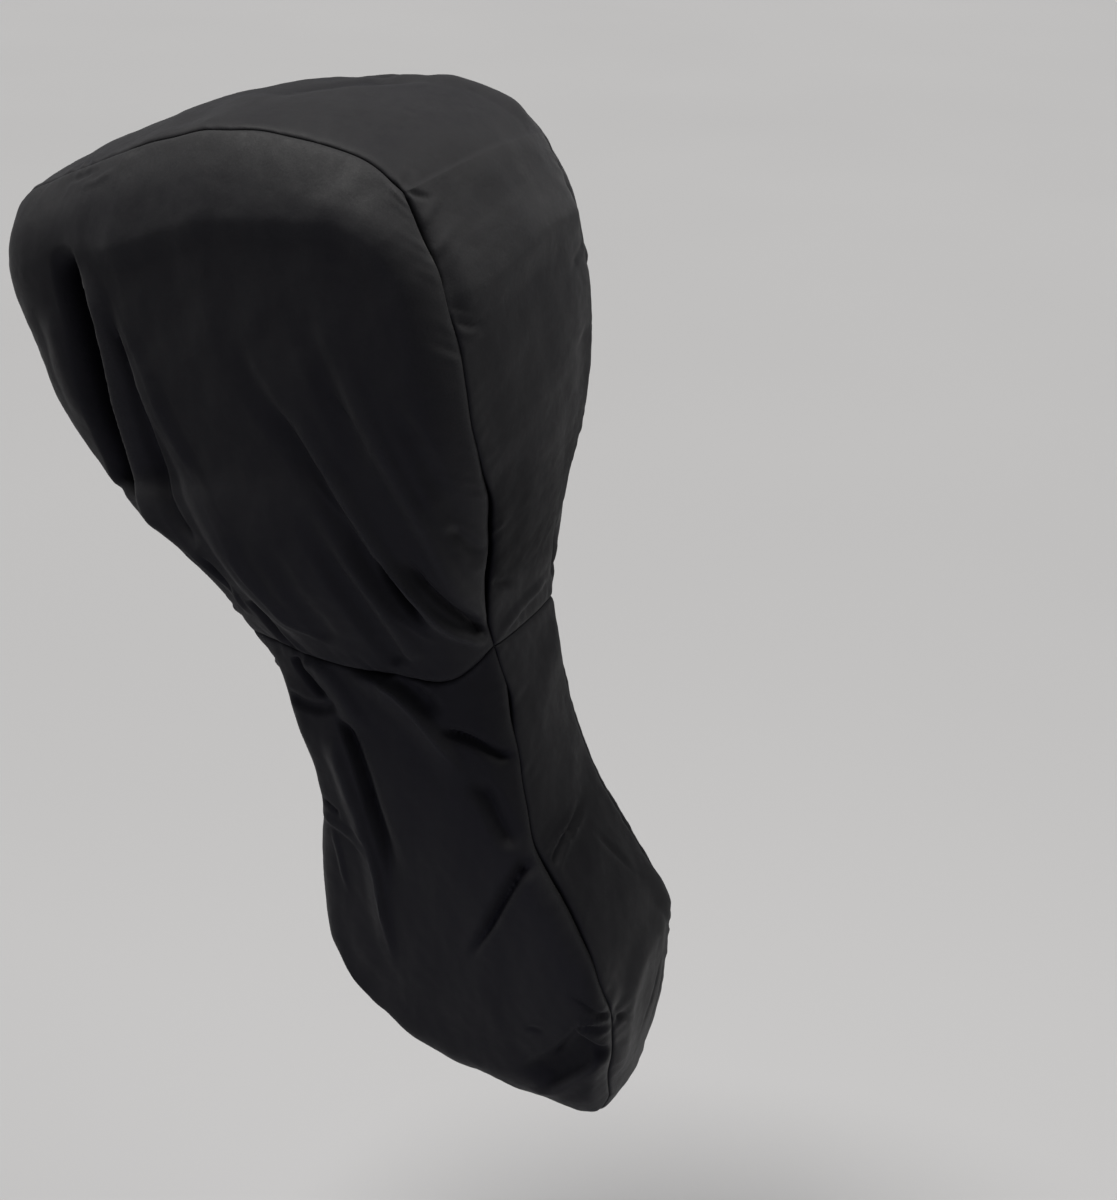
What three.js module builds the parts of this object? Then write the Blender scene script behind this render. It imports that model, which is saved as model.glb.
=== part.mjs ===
// A fitted full-length cover of dark woven polyester for an outboard motor, in the shape in which it
// hangs on a motor that is trimmed up. Six sewn panels: a centre band over the front, the top, the back
// and the underside, in two lengths, and an upper and a lower side panel on each side. A cross seam
// runs round the waist, and the front is open below the cowl.
// Millimetres. x points to the rear, y to starboard, z up, and the origin is under the top of the band.
import * as THREE from 'three';

// The cloth and its sewing
const CLOTH = 2; // thickness of a panel
const SEAM_GAP = 0.4; // between the edges of two panels at a seam
const SEAM_REACH = 0.05; // points of two panels this close belong to one seam
const CROWD = 0.45; // how far the cells crowd towards a panel's edges, from 0 to 1
const LEAN_PASSES = 4; // how often the leans of a panel's edge are averaged with their neighbours
const SEAM_SENSE = new THREE.Vector3(0.5, 0.3, 1); // tells the two ends of a seam's piece apart

// Cells of a side panel: down the sewn front edge, down the free hem, along the top, down the leg
const CELLS = { front: 11, hem: 9, along: 36, leg: 16 };
const BAND_CELLS = 6; // across the centre band

// The cover is looked at from the side. Each table follows one edge: x, z, and half the cover's
// width there, so the port edge lies at y = -half and the starboard edge at y = +half.
const EDGE = ['x', 'z', 'half'];
const EDGES = {
  front: table(EDGE, [
    [-466, -199, 165],
    [-479, -280, 161],
    [-463, -380, 153],
    [-428, -480, 142],
    [-372, -570, 128],
  ]),
  chin: table(EDGE, [
    [-372, -570, 128],
    [-310, -595, 165],
    [-215, -652, 184],
    [-95, -782, 150],
  ]),
  top: table(EDGE, [
    [-466, -199, 165],
    [-380, -133, 177],
    [-290, -91, 190],
    [-33, -25, 215],
    [163, -66, 216],
    [189, -86, 214],
  ]),
  back: table(EDGE, [
    [189, -86, 214],
    [240, -200, 213],
    [273, -420, 190],
    [275, -470, 170],
    [263, -585, 130],
    [246, -710, 110],
    [252, -755, 102],
  ]),
  waist: table(EDGE, [
    [-95, -782, 150],
    [-3, -792, 172],
    [107, -800, 168],
    [205, -800, 138],
    [252, -755, 102],
  ]),
  legHem: table(EDGE, [
    [-95, -782, 150],
    [-84, -852, 116],
    [-64, -1070, 62],
    [-68, -1150, 56],
    [-48, -1330, 60],
    [0, -1400, 68],
  ]),
  legBack: table(EDGE, [
    [252, -755, 102],
    [267, -825, 93],
    [293, -960, 100],
    [324, -1060, 119],
    [372, -1135, 126],
    [434, -1260, 130],
    [443, -1380, 107],
    [432, -1450, 95],
    [424, -1510, 70],
  ]),
  under: table(EDGE, [
    [0, -1400, 68],
    [62, -1464, 62],
    [135, -1512, 57],
    [220, -1533, 55],
    [300, -1549, 54],
    [400, -1548, 58],
    [424, -1510, 70],
  ]),
};

// How far each stretch of the band is crowned between its two seams, from its start to its end
const CROWN = {
  front: [14, 13],
  top: [13, 14, 26, 34],
  back: [34, 28, 22, 20, 14, 8],
  legBack: [8, 12, 13, 14, 12, 10],
  under: [10, 10],
};
const CROWN_SQUARENESS = 2.4; // 2 is a parabola, more is flatter in the middle

// Powers of a rounded shoulder: the higher, the more upright it starts at the seam
const SHOULDER = { firm: 3, middling: 2.6, soft: 2 };

// The side of the cowl swells past the seam over a rounded shoulder. Each roll is the share of the
// panel's height or length that its shoulder takes up.
const COWL = {
  swell: 58,
  thinning: 0.42, // how much of the swell is gone at the waist
  belly: 10,
  topRoll: 0.17,
  rearRoll: 0.13,
  frontRoll: 0.16,
  hemRoll: 0.09,
  chinBlend: [0.08, 0.12], // height before and after the chin over which one roll turns into the other
  waistPull: 0.3,
};

// The side of the leg swells less, and most at its front edge, which turns in round the leg
const LEG = {
  swell: 30,
  gain: 8,
  frontSwell: 34,
  frontSwellStart: 0.25, // share of the height over which the front's own swell grows
  rearRoll: 0.16,
  frontRoll: 0.14,
  waistRoll: 0.16,
  bottomPull: 0.3,
};

// The folds die out over this share of a panel before a sewn edge, and run through a free hem
const FOLD_REACH = 0.03;
const FOLD_STEPS = 16; // straight steps that stand for a fold's path

// The main folds of each side panel. The path runs downward in x, z; port and starboard are the
// fold's height on that side, negative for a trough; rear and front are its half-widths on each side
// of the path; start and end are the shares of the path over which it fades in and out.
const FOLD = ['name', 'port', 'starboard', 'rear', 'front', 'start', 'end', 'path'];
const COWL_FOLDS = table(FOLD, [
  ['front pocket', -34, -24, 30, 46, 0.15, 0, [[-328, -220], [-314, -350], [-300, -495], [-285, -565]]],
  ['pocket lip', 14, 8, 34, 18, 0.15, 0.3, [[-304, -220], [-278, -345], [-266, -495], [-215, -620]]],
  ['front ridge', 7, 7, 24, 30, 0.3, 0.3, [[-385, -270], [-360, -415], [-348, -485]]],
  ['second valley', -16, -12, 26, 24, 0.2, 0.1, [[-272, -270], [-236, -450], [-160, -630]]],
  ['long ridge', 10, 10, 32, 28, 0.25, 0.1, [[-250, -275], [-172, -495], [-62, -685], [5, -755]]],
  ['broad valley', -15, -10, 32, 46, 0.35, 0.1, [[-60, -270], [40, -445], [140, -635], [190, -700]]],
  ['broad ridge', 12, 9, 28, 28, 0.3, 0.1, [[15, -340], [125, -555], [210, -712], [245, -750]]],
  ['rear ridge', 8, 7, 28, 30, 0.3, 0.1, [[100, -275], [165, -435], [225, -635], [245, -725]]],
  ['waist valley', -12, -12, 28, 30, 0.35, 0.1, [[25, -520], [75, -625], [135, -780]]],
  ['upper wedge', -16, -12, 22, 28, 0.3, 0.2, [[132, -580], [155, -650], [192, -710]]],
  ['lower wedge', -14, -9, 22, 24, 0.3, 0.1, [[165, -580], [203, -648], [243, -738]]],
]);
const LEG_FOLDS = table(FOLD, [
  ['leg ridge', 12, 9, 24, 34, 0.1, 0.3, [[12, -915], [52, -1080], [80, -1270], [88, -1330]]],
  ['leg valley', -22, -15, 46, 20, 0.12, 0.35, [[25, -880], [64, -1030], [95, -1195]]],
  ['slant ridge', 12, 9, 24, 42, 0.1, 0.35, [[62, -780], [130, -835], [228, -965]]],
  ['dark wedge', -16, -12, 20, 20, 0.25, 0.15, [[180, -878], [238, -898], [285, -930]]],
  ['knee wedge', -17, -12, 20, 26, 0.08, 0.45, [[325, -1072], [297, -1120], [220, -1270]]],
  ['tip hollow', -16, -10, 36, 34, 0.2, 0.2, [[320, -1485], [360, -1448], [420, -1380]]],
]);

// A table of objects from its column names and its rows
function table(columns, rows) {
  return rows.map((row) => Object.fromEntries(columns.map((column, i) => [column, row[i]])));
}

// 0 at the start of a shoulder, 1 from its end on, steepest at the start
function rolled(share, power = SHOULDER.firm) {
  return 1 - (1 - THREE.MathUtils.clamp(share, 0, 1)) ** power;
}

// A curve through points of any dimension, cubic between them, with t from 0 to 1 by chord length.
// Its slope at a point is the mean of the chords beside it, each weighted by the other's length.
function course(points) {
  const stops = [0];
  for (let i = 1; i < points.length; i += 1) {
    const [a, b] = [points[i - 1], points[i]];
    stops.push(stops[i - 1] + Math.hypot(b[0] - a[0], b[1] - a[1]));
  }
  const spans = points.slice(1).map((_, i) => stops[i + 1] - stops[i]);
  const chord = (i, axis) => (points[i + 1][axis] - points[i][axis]) / spans[i];
  const slope = (i, axis) => {
    if (i === 0) return chord(0, axis);
    if (i === spans.length) return chord(i - 1, axis);
    const [before, after] = [spans[i - 1], spans[i]];
    return (chord(i - 1, axis) * after + chord(i, axis) * before) / (before + after);
  };
  return (t) => {
    const along = THREE.MathUtils.clamp(t, 0, 1) * stops.at(-1);
    const i = Math.max(0, Math.min(spans.length - 1, stops.findIndex((stop) => stop > along) - 1));
    const k = stops.at(-1) > along ? i : spans.length - 1;
    const u = (along - stops[k]) / spans[k];
    return points[k].map((value, axis) => {
      const start = (1 + 2 * u) * (1 - u) ** 2 * value + u * (1 - u) ** 2 * spans[k] * slope(k, axis);
      const end = u * u * (3 - 2 * u) * points[k + 1][axis];
      return start + end + u * u * (u - 1) * spans[k] * slope(k + 1, axis);
    });
  };
}

// The course of one or more edge tables that follow each other, as points (x, half, z)
function edge(...names) {
  const rows = names.flatMap((name, i) => (i === 0 ? EDGES[name] : EDGES[name].slice(1)));
  const at = course(rows.map((row) => [row.x, row.z, row.half]));
  return (t) => {
    const [x, z, half] = at(t);
    return new THREE.Vector3(x, half, z);
  };
}

// Shares from 0 to 1 that crowd towards both ends
function crowded(cells) {
  return Array.from({ length: cells + 1 }, (_, i) => {
    const t = i / cells;
    return (1 - CROWD) * t + (CROWD * (1 - Math.cos(Math.PI * t))) / 2;
  });
}

// The length of an edge seen from the side, straight from point to point
function chordLength(rows) {
  return rows.slice(1).reduce((sum, row, i) => sum + Math.hypot(row.x - rows[i].x, row.z - rows[i].z), 0);
}

// The share of the whole front edge at which its sewn part ends and its free hem starts
const SEWN_FRONT = chordLength(EDGES.front);
const CHIN = SEWN_FRONT / (SEWN_FRONT + chordLength(EDGES.chin));

const ALONG = crowded(CELLS.along);
const COWL_DOWN = [
  ...crowded(CELLS.front).map((t) => CHIN * t),
  ...crowded(CELLS.hem).slice(1).map((t) => CHIN + (1 - CHIN) * t),
];
const LEG_DOWN = crowded(CELLS.leg);

// A four-sided patch between its edges, as rows from the top edge down, each from front to rear:
// the two ruled surfaces between opposite edges, added, less the flat patch between the corners
function patch(edges, along, down) {
  const [top, bottom, front, rear] = [edges.top, edges.bottom, edges.front, edges.rear];
  const corners = [top(0), top(1), bottom(0), bottom(1)];
  return down.map((v) => along.map((u) => {
    const point = new THREE.Vector3();
    point.addScaledVector(top(u), 1 - v).addScaledVector(bottom(u), v);
    point.addScaledVector(front(v), 1 - u).addScaledVector(rear(v), u);
    const weights = [(1 - u) * (1 - v), u * (1 - v), (1 - u) * v, u * v];
    corners.forEach((corner, i) => point.addScaledVector(corner, -weights[i]));
    return point;
  }));
}

// The side of the cowl before its folds: the patch, swollen outward by its rolls
function cowlSide() {
  const front = edge('front', 'chin');
  const edges = { top: edge('top'), bottom: edge('waist'), front, rear: edge('back') };
  const points = patch(edges, ALONG, COWL_DOWN);
  points.forEach((row, i) => row.forEach((point, j) => {
    const [u, v] = [ALONG[j], COWL_DOWN[i]];
    const [before, after] = COWL.chinBlend;
    const free = THREE.MathUtils.smoothstep(v, CHIN - before, CHIN + after);
    const frontShoulder = (1 - free) * rolled(u / COWL.frontRoll) + free * rolled(u / COWL.hemRoll);
    const roll = frontShoulder * rolled(v / COWL.topRoll, SHOULDER.middling)
      * rolled((1 - u) / COWL.rearRoll, SHOULDER.middling);
    const swell = COWL.swell * (1 - COWL.thinning * v) * rolled((1 - v) / COWL.waistPull, SHOULDER.soft);
    point.y += roll * swell + COWL.belly * Math.sin(Math.PI * u) * Math.sin(Math.PI * v);
  }));
  return points;
}

// The side of the leg before its folds
function legSide() {
  const edges = { top: edge('waist'), bottom: edge('under'), front: edge('legHem'), rear: edge('legBack') };
  const points = patch(edges, ALONG, LEG_DOWN);
  points.forEach((row, i) => row.forEach((point, j) => {
    const [u, v] = [ALONG[j], LEG_DOWN[i]];
    const roll = rolled((1 - u) / LEG.rearRoll) * rolled(u / LEG.frontRoll)
      * rolled((1 - v) / LEG.waistRoll) * rolled(v / LEG.bottomPull, SHOULDER.soft);
    const frontSwell = LEG.frontSwell * (1 - u) ** 2 * rolled(v / LEG.frontSwellStart, SHOULDER.soft);
    point.y += roll * (LEG.swell + LEG.gain * v + frontSwell);
  }));
  return points;
}

// The height of one fold at x, z: a bell across its path, faded in and out along it
function foldHeight(fold, height, x, z) {
  const at = course(fold.path);
  let nearest = { distance: Infinity };
  let from = at(0);
  for (let i = 1; i <= FOLD_STEPS; i += 1) {
    const to = at(i / FOLD_STEPS);
    const [dx, dz] = [to[0] - from[0], to[1] - from[1]];
    const reach = ((x - from[0]) * dx + (z - from[1]) * dz) / (dx * dx + dz * dz);
    const k = THREE.MathUtils.clamp(reach, 0, 1);
    const [offX, offZ] = [x - from[0] - k * dx, z - from[1] - k * dz];
    const distance = Math.hypot(offX, offZ);
    if (distance < nearest.distance) {
      nearest = { distance, t: (i - 1 + k) / FOLD_STEPS, rearward: dx * offZ - dz * offX > 0 };
    }
    from = to;
  }
  const width = nearest.rearward ? fold.rear : fold.front;
  const bell = (1 - Math.min(1, nearest.distance / width) ** 2) ** 2;
  const fadeIn = fold.start ? THREE.MathUtils.smoothstep(nearest.t, 0, fold.start) : 1;
  const fadeOut = fold.end ? THREE.MathUtils.smoothstep(1 - nearest.t, 0, fold.end) : 1;
  return height * bell * fadeIn * fadeOut;
}

// Unit normals of a grid of points, from the steps between each point's neighbours
function normals(points) {
  const clamp = (i, list) => list[Math.max(0, Math.min(list.length - 1, i))];
  return points.map((row, i) => row.map((_, j) => {
    const along = clamp(j + 1, row).clone().sub(clamp(j - 1, row));
    const down = clamp(i + 1, points)[j].clone().sub(clamp(i - 1, points)[j]);
    return along.cross(down).normalize();
  }));
}

// Pushes each point of a side out along its normal by the sum of its folds on that side of the cover
function folded(points, along, down, folds, side, sewnFront) {
  const out = normals(points);
  return points.map((row, i) => row.map((point, j) => {
    const [u, v] = [along[j], down[i]];
    const fade = (share) => rolled(share / FOLD_REACH, SHOULDER.soft);
    const fades = (sewnFront(v) ? fade(u) : 1) * fade(1 - u) * fade(v) * fade(1 - v);
    const height = folds.reduce((sum, fold) => sum + foldHeight(fold, fold[side], point.x, point.z), 0);
    const outward = Math.sign(out[i][j].y) || 1;
    return point.clone().addScaledVector(out[i][j], outward * height * fades);
  }));
}

// The centre band over stretches of seam: each stretch is an edge, its stations and its crowns.
// Across the band the cloth is crowned along the seam's own outward normal.
function bandRows(stretches) {
  const stations = [];
  stretches.forEach(({ at, shares, crowns }, i) => {
    const crown = course(crowns.map((height, k) => [k, height]));
    shares.slice(i === 0 ? 0 : 1).forEach((share) => {
      stations.push({ point: at(share), crown: crown(share)[1] });
    });
  });
  return stations.map(({ point, crown }, i) => {
    const before = stations[Math.max(0, i - 1)].point;
    const after = stations[Math.min(stations.length - 1, i + 1)].point;
    const outward = new THREE.Vector3(before.z - after.z, 0, after.x - before.x).normalize();
    return Array.from({ length: BAND_CELLS + 1 }, (_, k) => {
      const across = (2 * k) / BAND_CELLS - 1;
      const bulge = crown * (1 - Math.abs(across) ** CROWN_SQUARENESS);
      const place = new THREE.Vector3(point.x, across * point.y, point.z);
      return place.addScaledVector(outward, bulge);
    });
  });
}

// The whole band from the chin over the top and down to the tip, then forward underneath
function band() {
  const sewn = COWL_DOWN.filter((v) => v <= CHIN + 1e-9).reverse();
  return bandRows([
    { at: edge('front', 'chin'), shares: sewn, crowns: CROWN.front },
    { at: edge('top'), shares: ALONG, crowns: CROWN.top },
    { at: edge('back'), shares: COWL_DOWN, crowns: CROWN.back },
    { at: edge('legBack'), shares: LEG_DOWN, crowns: CROWN.legBack },
    { at: edge('under'), shares: [...ALONG].reverse(), crowns: CROWN.under },
  ]);
}

// Turns a side's grid, built at y = +half, to the port or the starboard side
function onSide(points, side) {
  const sign = side === 'port' ? -1 : 1;
  return points.map((row) => row.map((point) => new THREE.Vector3(point.x, sign * point.y, point.z)));
}

// The outer faces of the six panels, by name
function panels() {
  const rows = band();
  const waistRow = CELLS.front + CELLS.along + COWL_DOWN.length - 1;
  const lower = rows.slice(waistRow).map((row) => row.map((point) => point.clone()));
  const faces = { gusset_upper: rows.slice(0, waistRow + 1), gusset_lower: lower };
  for (const side of ['port', 'starboard']) {
    const cowl = folded(cowlSide(), ALONG, COWL_DOWN, COWL_FOLDS, side, (v) => v <= CHIN);
    const leg = folded(legSide(), ALONG, LEG_DOWN, LEG_FOLDS, side, () => false);
    faces[`side_upper_${side}`] = onSide(cowl, side);
    faces[`side_lower_${side}`] = onSide(leg, side);
  }
  return faces;
}

// Which way out is for each panel: away from the middle of the cowl or of the leg
function outward(points, out) {
  const middle = new THREE.Vector3();
  points.flat().forEach((point) => middle.add(point));
  middle.divideScalar(points.flat().length);
  middle.y = 0;
  let agreement = 0;
  points.forEach((row, i) => row.forEach((point, j) => {
    agreement += out[i][j].dot(point.clone().sub(middle));
  }));
  return Math.sign(agreement);
}

// The four borders of a grid, each as a list of places (i, j) with the place next to it inside
function borders(points) {
  const [last, end] = [points.length - 1, points[0].length - 1];
  const rows = points.map((_, i) => i);
  const columns = points[0].map((_, j) => j);
  return [
    columns.map((j) => ({ i: 0, j, inside: points[1][j] })),
    columns.map((j) => ({ i: last, j, inside: points[last - 1][j] })),
    rows.map((i) => ({ i, j: 0, inside: points[i][1] })),
    rows.map((i) => ({ i, j: end, inside: points[i][end - 1] })),
  ];
}

// Evens out a panel's leans along its borders, so that its edge faces hardly twist
function easeLeans(sheet) {
  for (const i of [0, sheet.points.length - 1]) {
    for (const j of [0, sheet.points[0].length - 1]) {
      const [beside, below] = [sheet.leans[i][Math.abs(j - 1)], sheet.leans[Math.abs(i - 1)][j]];
      sheet.leans[i][j].copy(beside).add(below).normalize();
    }
  }
  for (let pass = 0; pass < LEAN_PASSES; pass += 1) {
    for (const border of borders(sheet.points)) {
      const leans = border.map(({ i, j }) => sheet.leans[i][j].clone());
      border.forEach(({ i, j }, k) => {
        const before = leans[Math.max(0, k - 1)];
        const after = leans[Math.min(leans.length - 1, k + 1)];
        sheet.leans[i][j].multiplyScalar(2).add(before).add(after).normalize();
      });
    }
  }
}

// Gives the panels that meet at a seam point one lean, so that their edges stand side by side, and
// notes which points of each panel are sewn
function shareLeans(sheets) {
  const places = sheets.flatMap((sheet) => borders(sheet.points).flat().map(({ i, j }) => {
    const point = sheet.points[i][j];
    const key = point.toArray().map((value) => Math.round(value / SEAM_REACH)).join();
    return { sheet, point, lean: sheet.leans[i][j], key };
  }));
  const seams = Map.groupBy(places, (place) => place.key);
  for (const meeting of seams.values()) {
    if (new Set(meeting.map((place) => place.sheet)).size > 1) {
      const mean = new THREE.Vector3();
      meeting.forEach(({ lean }) => mean.add(lean));
      meeting.forEach(({ sheet, point, lean }) => {
        lean.copy(mean).normalize();
        sheet.sewn.add(point);
      });
    }
  }
}

// Draws a panel in from its seams by half the seam gap, square to the seam and to its lean
function trim({ points, leans, sewn }) {
  const moves = borders(points).flatMap((border) => {
    const line = border.map(({ i, j }) => points[i][j]);
    const places = border.map(({ i, j, inside }, k) => {
      const tangent = (line[k + 1] ?? line[k]).clone().sub(line[k - 1] ?? line[k]);
      const inward = tangent.cross(leans[i][j]).normalize();
      const seam = sewn.has(line[k]) && (sewn.has(line[k - 1]) || sewn.has(line[k + 1]));
      return { point: line[k], inward, seam, agreement: inward.dot(inside.clone().sub(line[k])) };
    });
    const side = Math.sign(places.reduce((sum, place) => sum + place.agreement, 0));
    return places.filter((place) => place.seam).map(({ point, inward }) => (
      { point, move: inward.multiplyScalar((side * SEAM_GAP) / 2) }
    ));
  });
  moves.forEach(({ point, move }) => point.add(move));
}

// A closed solid of the cloth's thickness under the outer face. Its cells are cut along their shorter
// diagonals. Two panels cut their edge faces along the same diagonal at a seam: the one that starts
// at the end further along the seam sense.
function cloth({ points, leans, flip }) {
  const [rows, columns] = [points.length, points[0].length];
  const count = rows * columns;
  const outer = points.flat();
  const inner = outer.map((point, k) => point.clone().addScaledVector(leans.flat()[k], -CLOTH));
  const faces = [];
  const quad = (a, b, c, d) => faces.push(a, b, c, a, c, d);
  const at = (i, j) => i * columns + j;
  for (let i = 0; i < rows - 1; i += 1) {
    for (let j = 0; j < columns - 1; j += 1) {
      const cell = [at(i, j), at(i + 1, j), at(i + 1, j + 1), at(i, j + 1)];
      const [first, second] = [0, 1].map((k) => outer[cell[k]].distanceTo(outer[cell[k + 2]]));
      if (second < first) cell.push(cell.shift());
      quad(...cell);
      quad(...[0, 3, 2, 1].map((k) => count + cell[k]));
    }
  }
  const loop = [
    ...Array.from({ length: columns - 1 }, (_, j) => at(0, j)),
    ...Array.from({ length: rows - 1 }, (_, i) => at(i, columns - 1)),
    ...Array.from({ length: columns - 1 }, (_, j) => at(rows - 1, columns - 1 - j)),
    ...Array.from({ length: rows - 1 }, (_, i) => at(rows - 1 - i, 0)),
  ];
  loop.forEach((a, k) => {
    const b = loop[(k + 1) % loop.length];
    const ahead = outer[a].dot(SEAM_SENSE) > outer[b].dot(SEAM_SENSE);
    if (ahead) quad(a, b, count + b, count + a);
    else quad(b, count + b, count + a, a);
  });
  if (flip) faces.reverse();
  const geometry = new THREE.BufferGeometry();
  const positions = [...outer, ...inner].flatMap((point) => point.toArray());
  geometry.setAttribute('position', new THREE.Float32BufferAttribute(positions, 3));
  geometry.setIndex(faces);
  geometry.computeVertexNormals();
  return geometry;
}

const polyester = new THREE.MeshStandardMaterial({ color: 0x1b1b1d, roughness: 0.72, metalness: 0 });

const cover = new THREE.Group();
const sheets = Object.entries(panels()).map(([name, points]) => {
  const leans = normals(points);
  const side = outward(points, leans);
  leans.flat().forEach((lean) => lean.multiplyScalar(side));
  return { name, points, leans, flip: side > 0, sewn: new Set() };
});
sheets.forEach(easeLeans);
shareLeans(sheets);
for (const sheet of sheets) {
  trim(sheet);
  const mesh = new THREE.Mesh(cloth(sheet), polyester);
  mesh.name = sheet.name;
  cover.add(mesh);
}

export default cover;
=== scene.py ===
"""A fitted full-length cover of black woven polyester for an outboard motor.

The cover hangs on a motor that is trimmed up. Six panels are sewn together: a centre band over the
front, the top, the back and the underside, in two lengths, and an upper and a lower side panel on each
side. A cross seam runs round the waist, and the front is open below the cowl.

Each panel is a grid of points that numpy works out as whole arrays. Rows run down the cover and columns
from front to rear, and the band's rows run from the chin over the top to the tip. Sizes are in
millimetres until a mesh is written. x points to the rear, y to starboard and z up, as in the frame.
"""

from __future__ import annotations

import logging
import math
from abc import ABC, abstractmethod
from dataclasses import dataclass, field
from enum import Enum

import bpy
import numpy as np
from mathutils import Matrix, Vector


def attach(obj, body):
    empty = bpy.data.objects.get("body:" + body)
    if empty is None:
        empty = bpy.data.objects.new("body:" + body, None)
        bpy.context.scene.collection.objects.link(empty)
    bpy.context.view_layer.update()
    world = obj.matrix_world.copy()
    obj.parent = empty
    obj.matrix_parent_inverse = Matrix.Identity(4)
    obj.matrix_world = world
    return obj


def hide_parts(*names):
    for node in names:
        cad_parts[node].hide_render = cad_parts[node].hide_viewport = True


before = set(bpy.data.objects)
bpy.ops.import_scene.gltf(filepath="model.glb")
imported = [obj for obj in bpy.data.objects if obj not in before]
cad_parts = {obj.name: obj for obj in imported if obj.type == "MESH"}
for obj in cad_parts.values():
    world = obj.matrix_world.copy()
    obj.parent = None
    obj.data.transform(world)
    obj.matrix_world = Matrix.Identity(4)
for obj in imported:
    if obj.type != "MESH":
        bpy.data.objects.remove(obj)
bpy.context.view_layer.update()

LOG = logging.getLogger("cover")
MM = 0.001
BODY = "root"
SHARP_ANGLE = math.radians(70)

Array = np.ndarray
Pair = tuple[float, float]
Vec = tuple[float, float, float]
Colour = tuple[float, ...]
Table = tuple[tuple[float, ...], ...]
Socket = bpy.types.NodeSocket

# The cover seen from the side. Each table follows one edge, and its columns are x, z and half the
# cover's width there.
EDGES: dict[str, Table] = {
    "front": ((-466, -199, 165), (-479, -280, 161), (-457, -380, 153), (-426, -480, 142),
              (-372, -570, 128)),
    "chin": ((-372, -570, 128), (-306, -588, 165), (-206, -643, 184), (-120, -779, 150)),
    "top": ((-466, -199, 165), (-438, -159, 171), (-380, -130, 178), (-290, -91, 190), (-33, -25, 215),
            (163, -66, 216), (189, -86, 214)),
    "back": ((189, -86, 214), (240, -200, 213), (273, -420, 190), (275, -470, 170), (263, -585, 130),
             (246, -710, 110), (252, -755, 102)),
    "waist": ((-120, -779, 150), (-3, -792, 172), (107, -800, 168), (205, -800, 138),
              (252, -755, 102)),
    "leg_hem": ((-120, -779, 150), (-95, -852, 116), (-57, -1070, 62), (-68, -1150, 56),
                (-48, -1330, 60), (0, -1400, 68)),
    "leg_back": ((252, -755, 102), (267, -825, 93), (293, -960, 100), (324, -1060, 119),
                 (372, -1135, 126), (434, -1260, 130), (443, -1380, 107), (432, -1450, 95),
                 (424, -1510, 70)),
    "under": ((0, -1400, 68), (62, -1468, 62), (135, -1521, 57), (220, -1544, 55), (300, -1557, 54),
              (400, -1552, 58), (424, -1510, 70)),
}

# How far each stretch of the band is crowned between its two seams, from its start to its end
CROWNS: dict[str, tuple[float, ...]] = {
    "front": (19, 13),
    "top": (19, 26, 26, 34),
    "back": (34, 28, 22, 20, 14, 8),
    "leg_back": (8, 12, 13, 14, 12, 10),
    "under": (10, 10),
}


class Side(Enum):
    """A side of the cover, with the sign of y there."""

    PORT = -1
    STARBOARD = 1

    @property
    def word(self) -> str:
        """The side's name in lower case."""
        return self.name.lower()


class Border(Enum):
    """One of the four borders of a panel's grid."""

    FIRST_ROW = "first row"
    LAST_ROW = "last row"
    FIRST_COLUMN = "first column"
    LAST_COLUMN = "last column"


FIRST_ROW, LAST_ROW, FIRST_COLUMN, LAST_COLUMN = Border

# Powers of a shoulder that starts gently, and of one that starts steeply
GENTLE = 2.0
STEEP = 3.0


def rolled(share: Array, power: float = STEEP) -> Array:
    """A shoulder: 0 at its start and 1 from its end on, steepest at the start.

    Args:
        share: place across the shoulder, where 0 is its start and 1 its end.
        power: the higher, the more upright the shoulder starts.

    Returns:
        One less the power of what is left of the way.
    """
    return 1 - (1 - np.clip(share, 0, 1)) ** power


def eased(value: Array, start: float, end: float) -> Array:
    """A smooth step from 0 at start to 1 at end, level at both.

    Args:
        value: where the step is read.
        start: the value up to which it is 0.
        end: the value from which it is 1.

    Returns:
        The step, as three squares less two cubes of the share of the way.
    """
    share = np.clip((value - start) / (end - start), 0, 1)
    return share * share * (3 - 2 * share)


def crowded(cells: int, crowd: float) -> Array:
    """Shares from 0 to 1 that stand closer together towards both ends.

    Args:
        cells: number of steps.
        crowd: from 0, where the steps are even, to 1, where they shrink to nothing at the ends.

    Returns:
        A mix of even steps and of the steps of a half cosine.
    """
    even = np.linspace(0, 1, cells + 1)
    return (1 - crowd) * even + crowd * (1 - np.cos(np.pi * even)) / 2


def unit(vectors: Array) -> Array:
    """Vectors scaled to length 1 along their last axis."""
    return vectors / np.maximum(np.linalg.norm(vectors, axis=-1, keepdims=True), 1e-9)


def lengths_along(points: Array) -> Array:
    """The length along each line of points, from 0 at its start.

    Args:
        points: array whose last two axes are the place on a line and x, y, z.

    Returns:
        The summed lengths of the straight steps, with the last axis gone.
    """
    steps = np.linalg.norm(np.diff(points, axis=-2), axis=-1)
    start = np.zeros(steps.shape[:-1] + (1,))
    return np.concatenate([start, np.cumsum(steps, axis=-1)], axis=-1)


def turned(grid: Array, border: Border) -> Array:
    """A view of a grid in which one border is its first column.

    Args:
        grid: array whose first two axes are rows and columns.
        border: the border wanted.

    Returns:
        The same memory, read along the border and then inward from it.
    """
    if border is FIRST_COLUMN:
        return grid
    if border is LAST_COLUMN:
        return grid[:, ::-1]
    if border is FIRST_ROW:
        return grid.swapaxes(0, 1)
    return grid[::-1].swapaxes(0, 1)


def grid_normals(points: Array) -> Array:
    """Outward unit normals of a grid: the step along its columns crossed with the step down its rows."""
    return unit(np.cross(np.gradient(points, axis=1), np.gradient(points, axis=0)))


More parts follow.
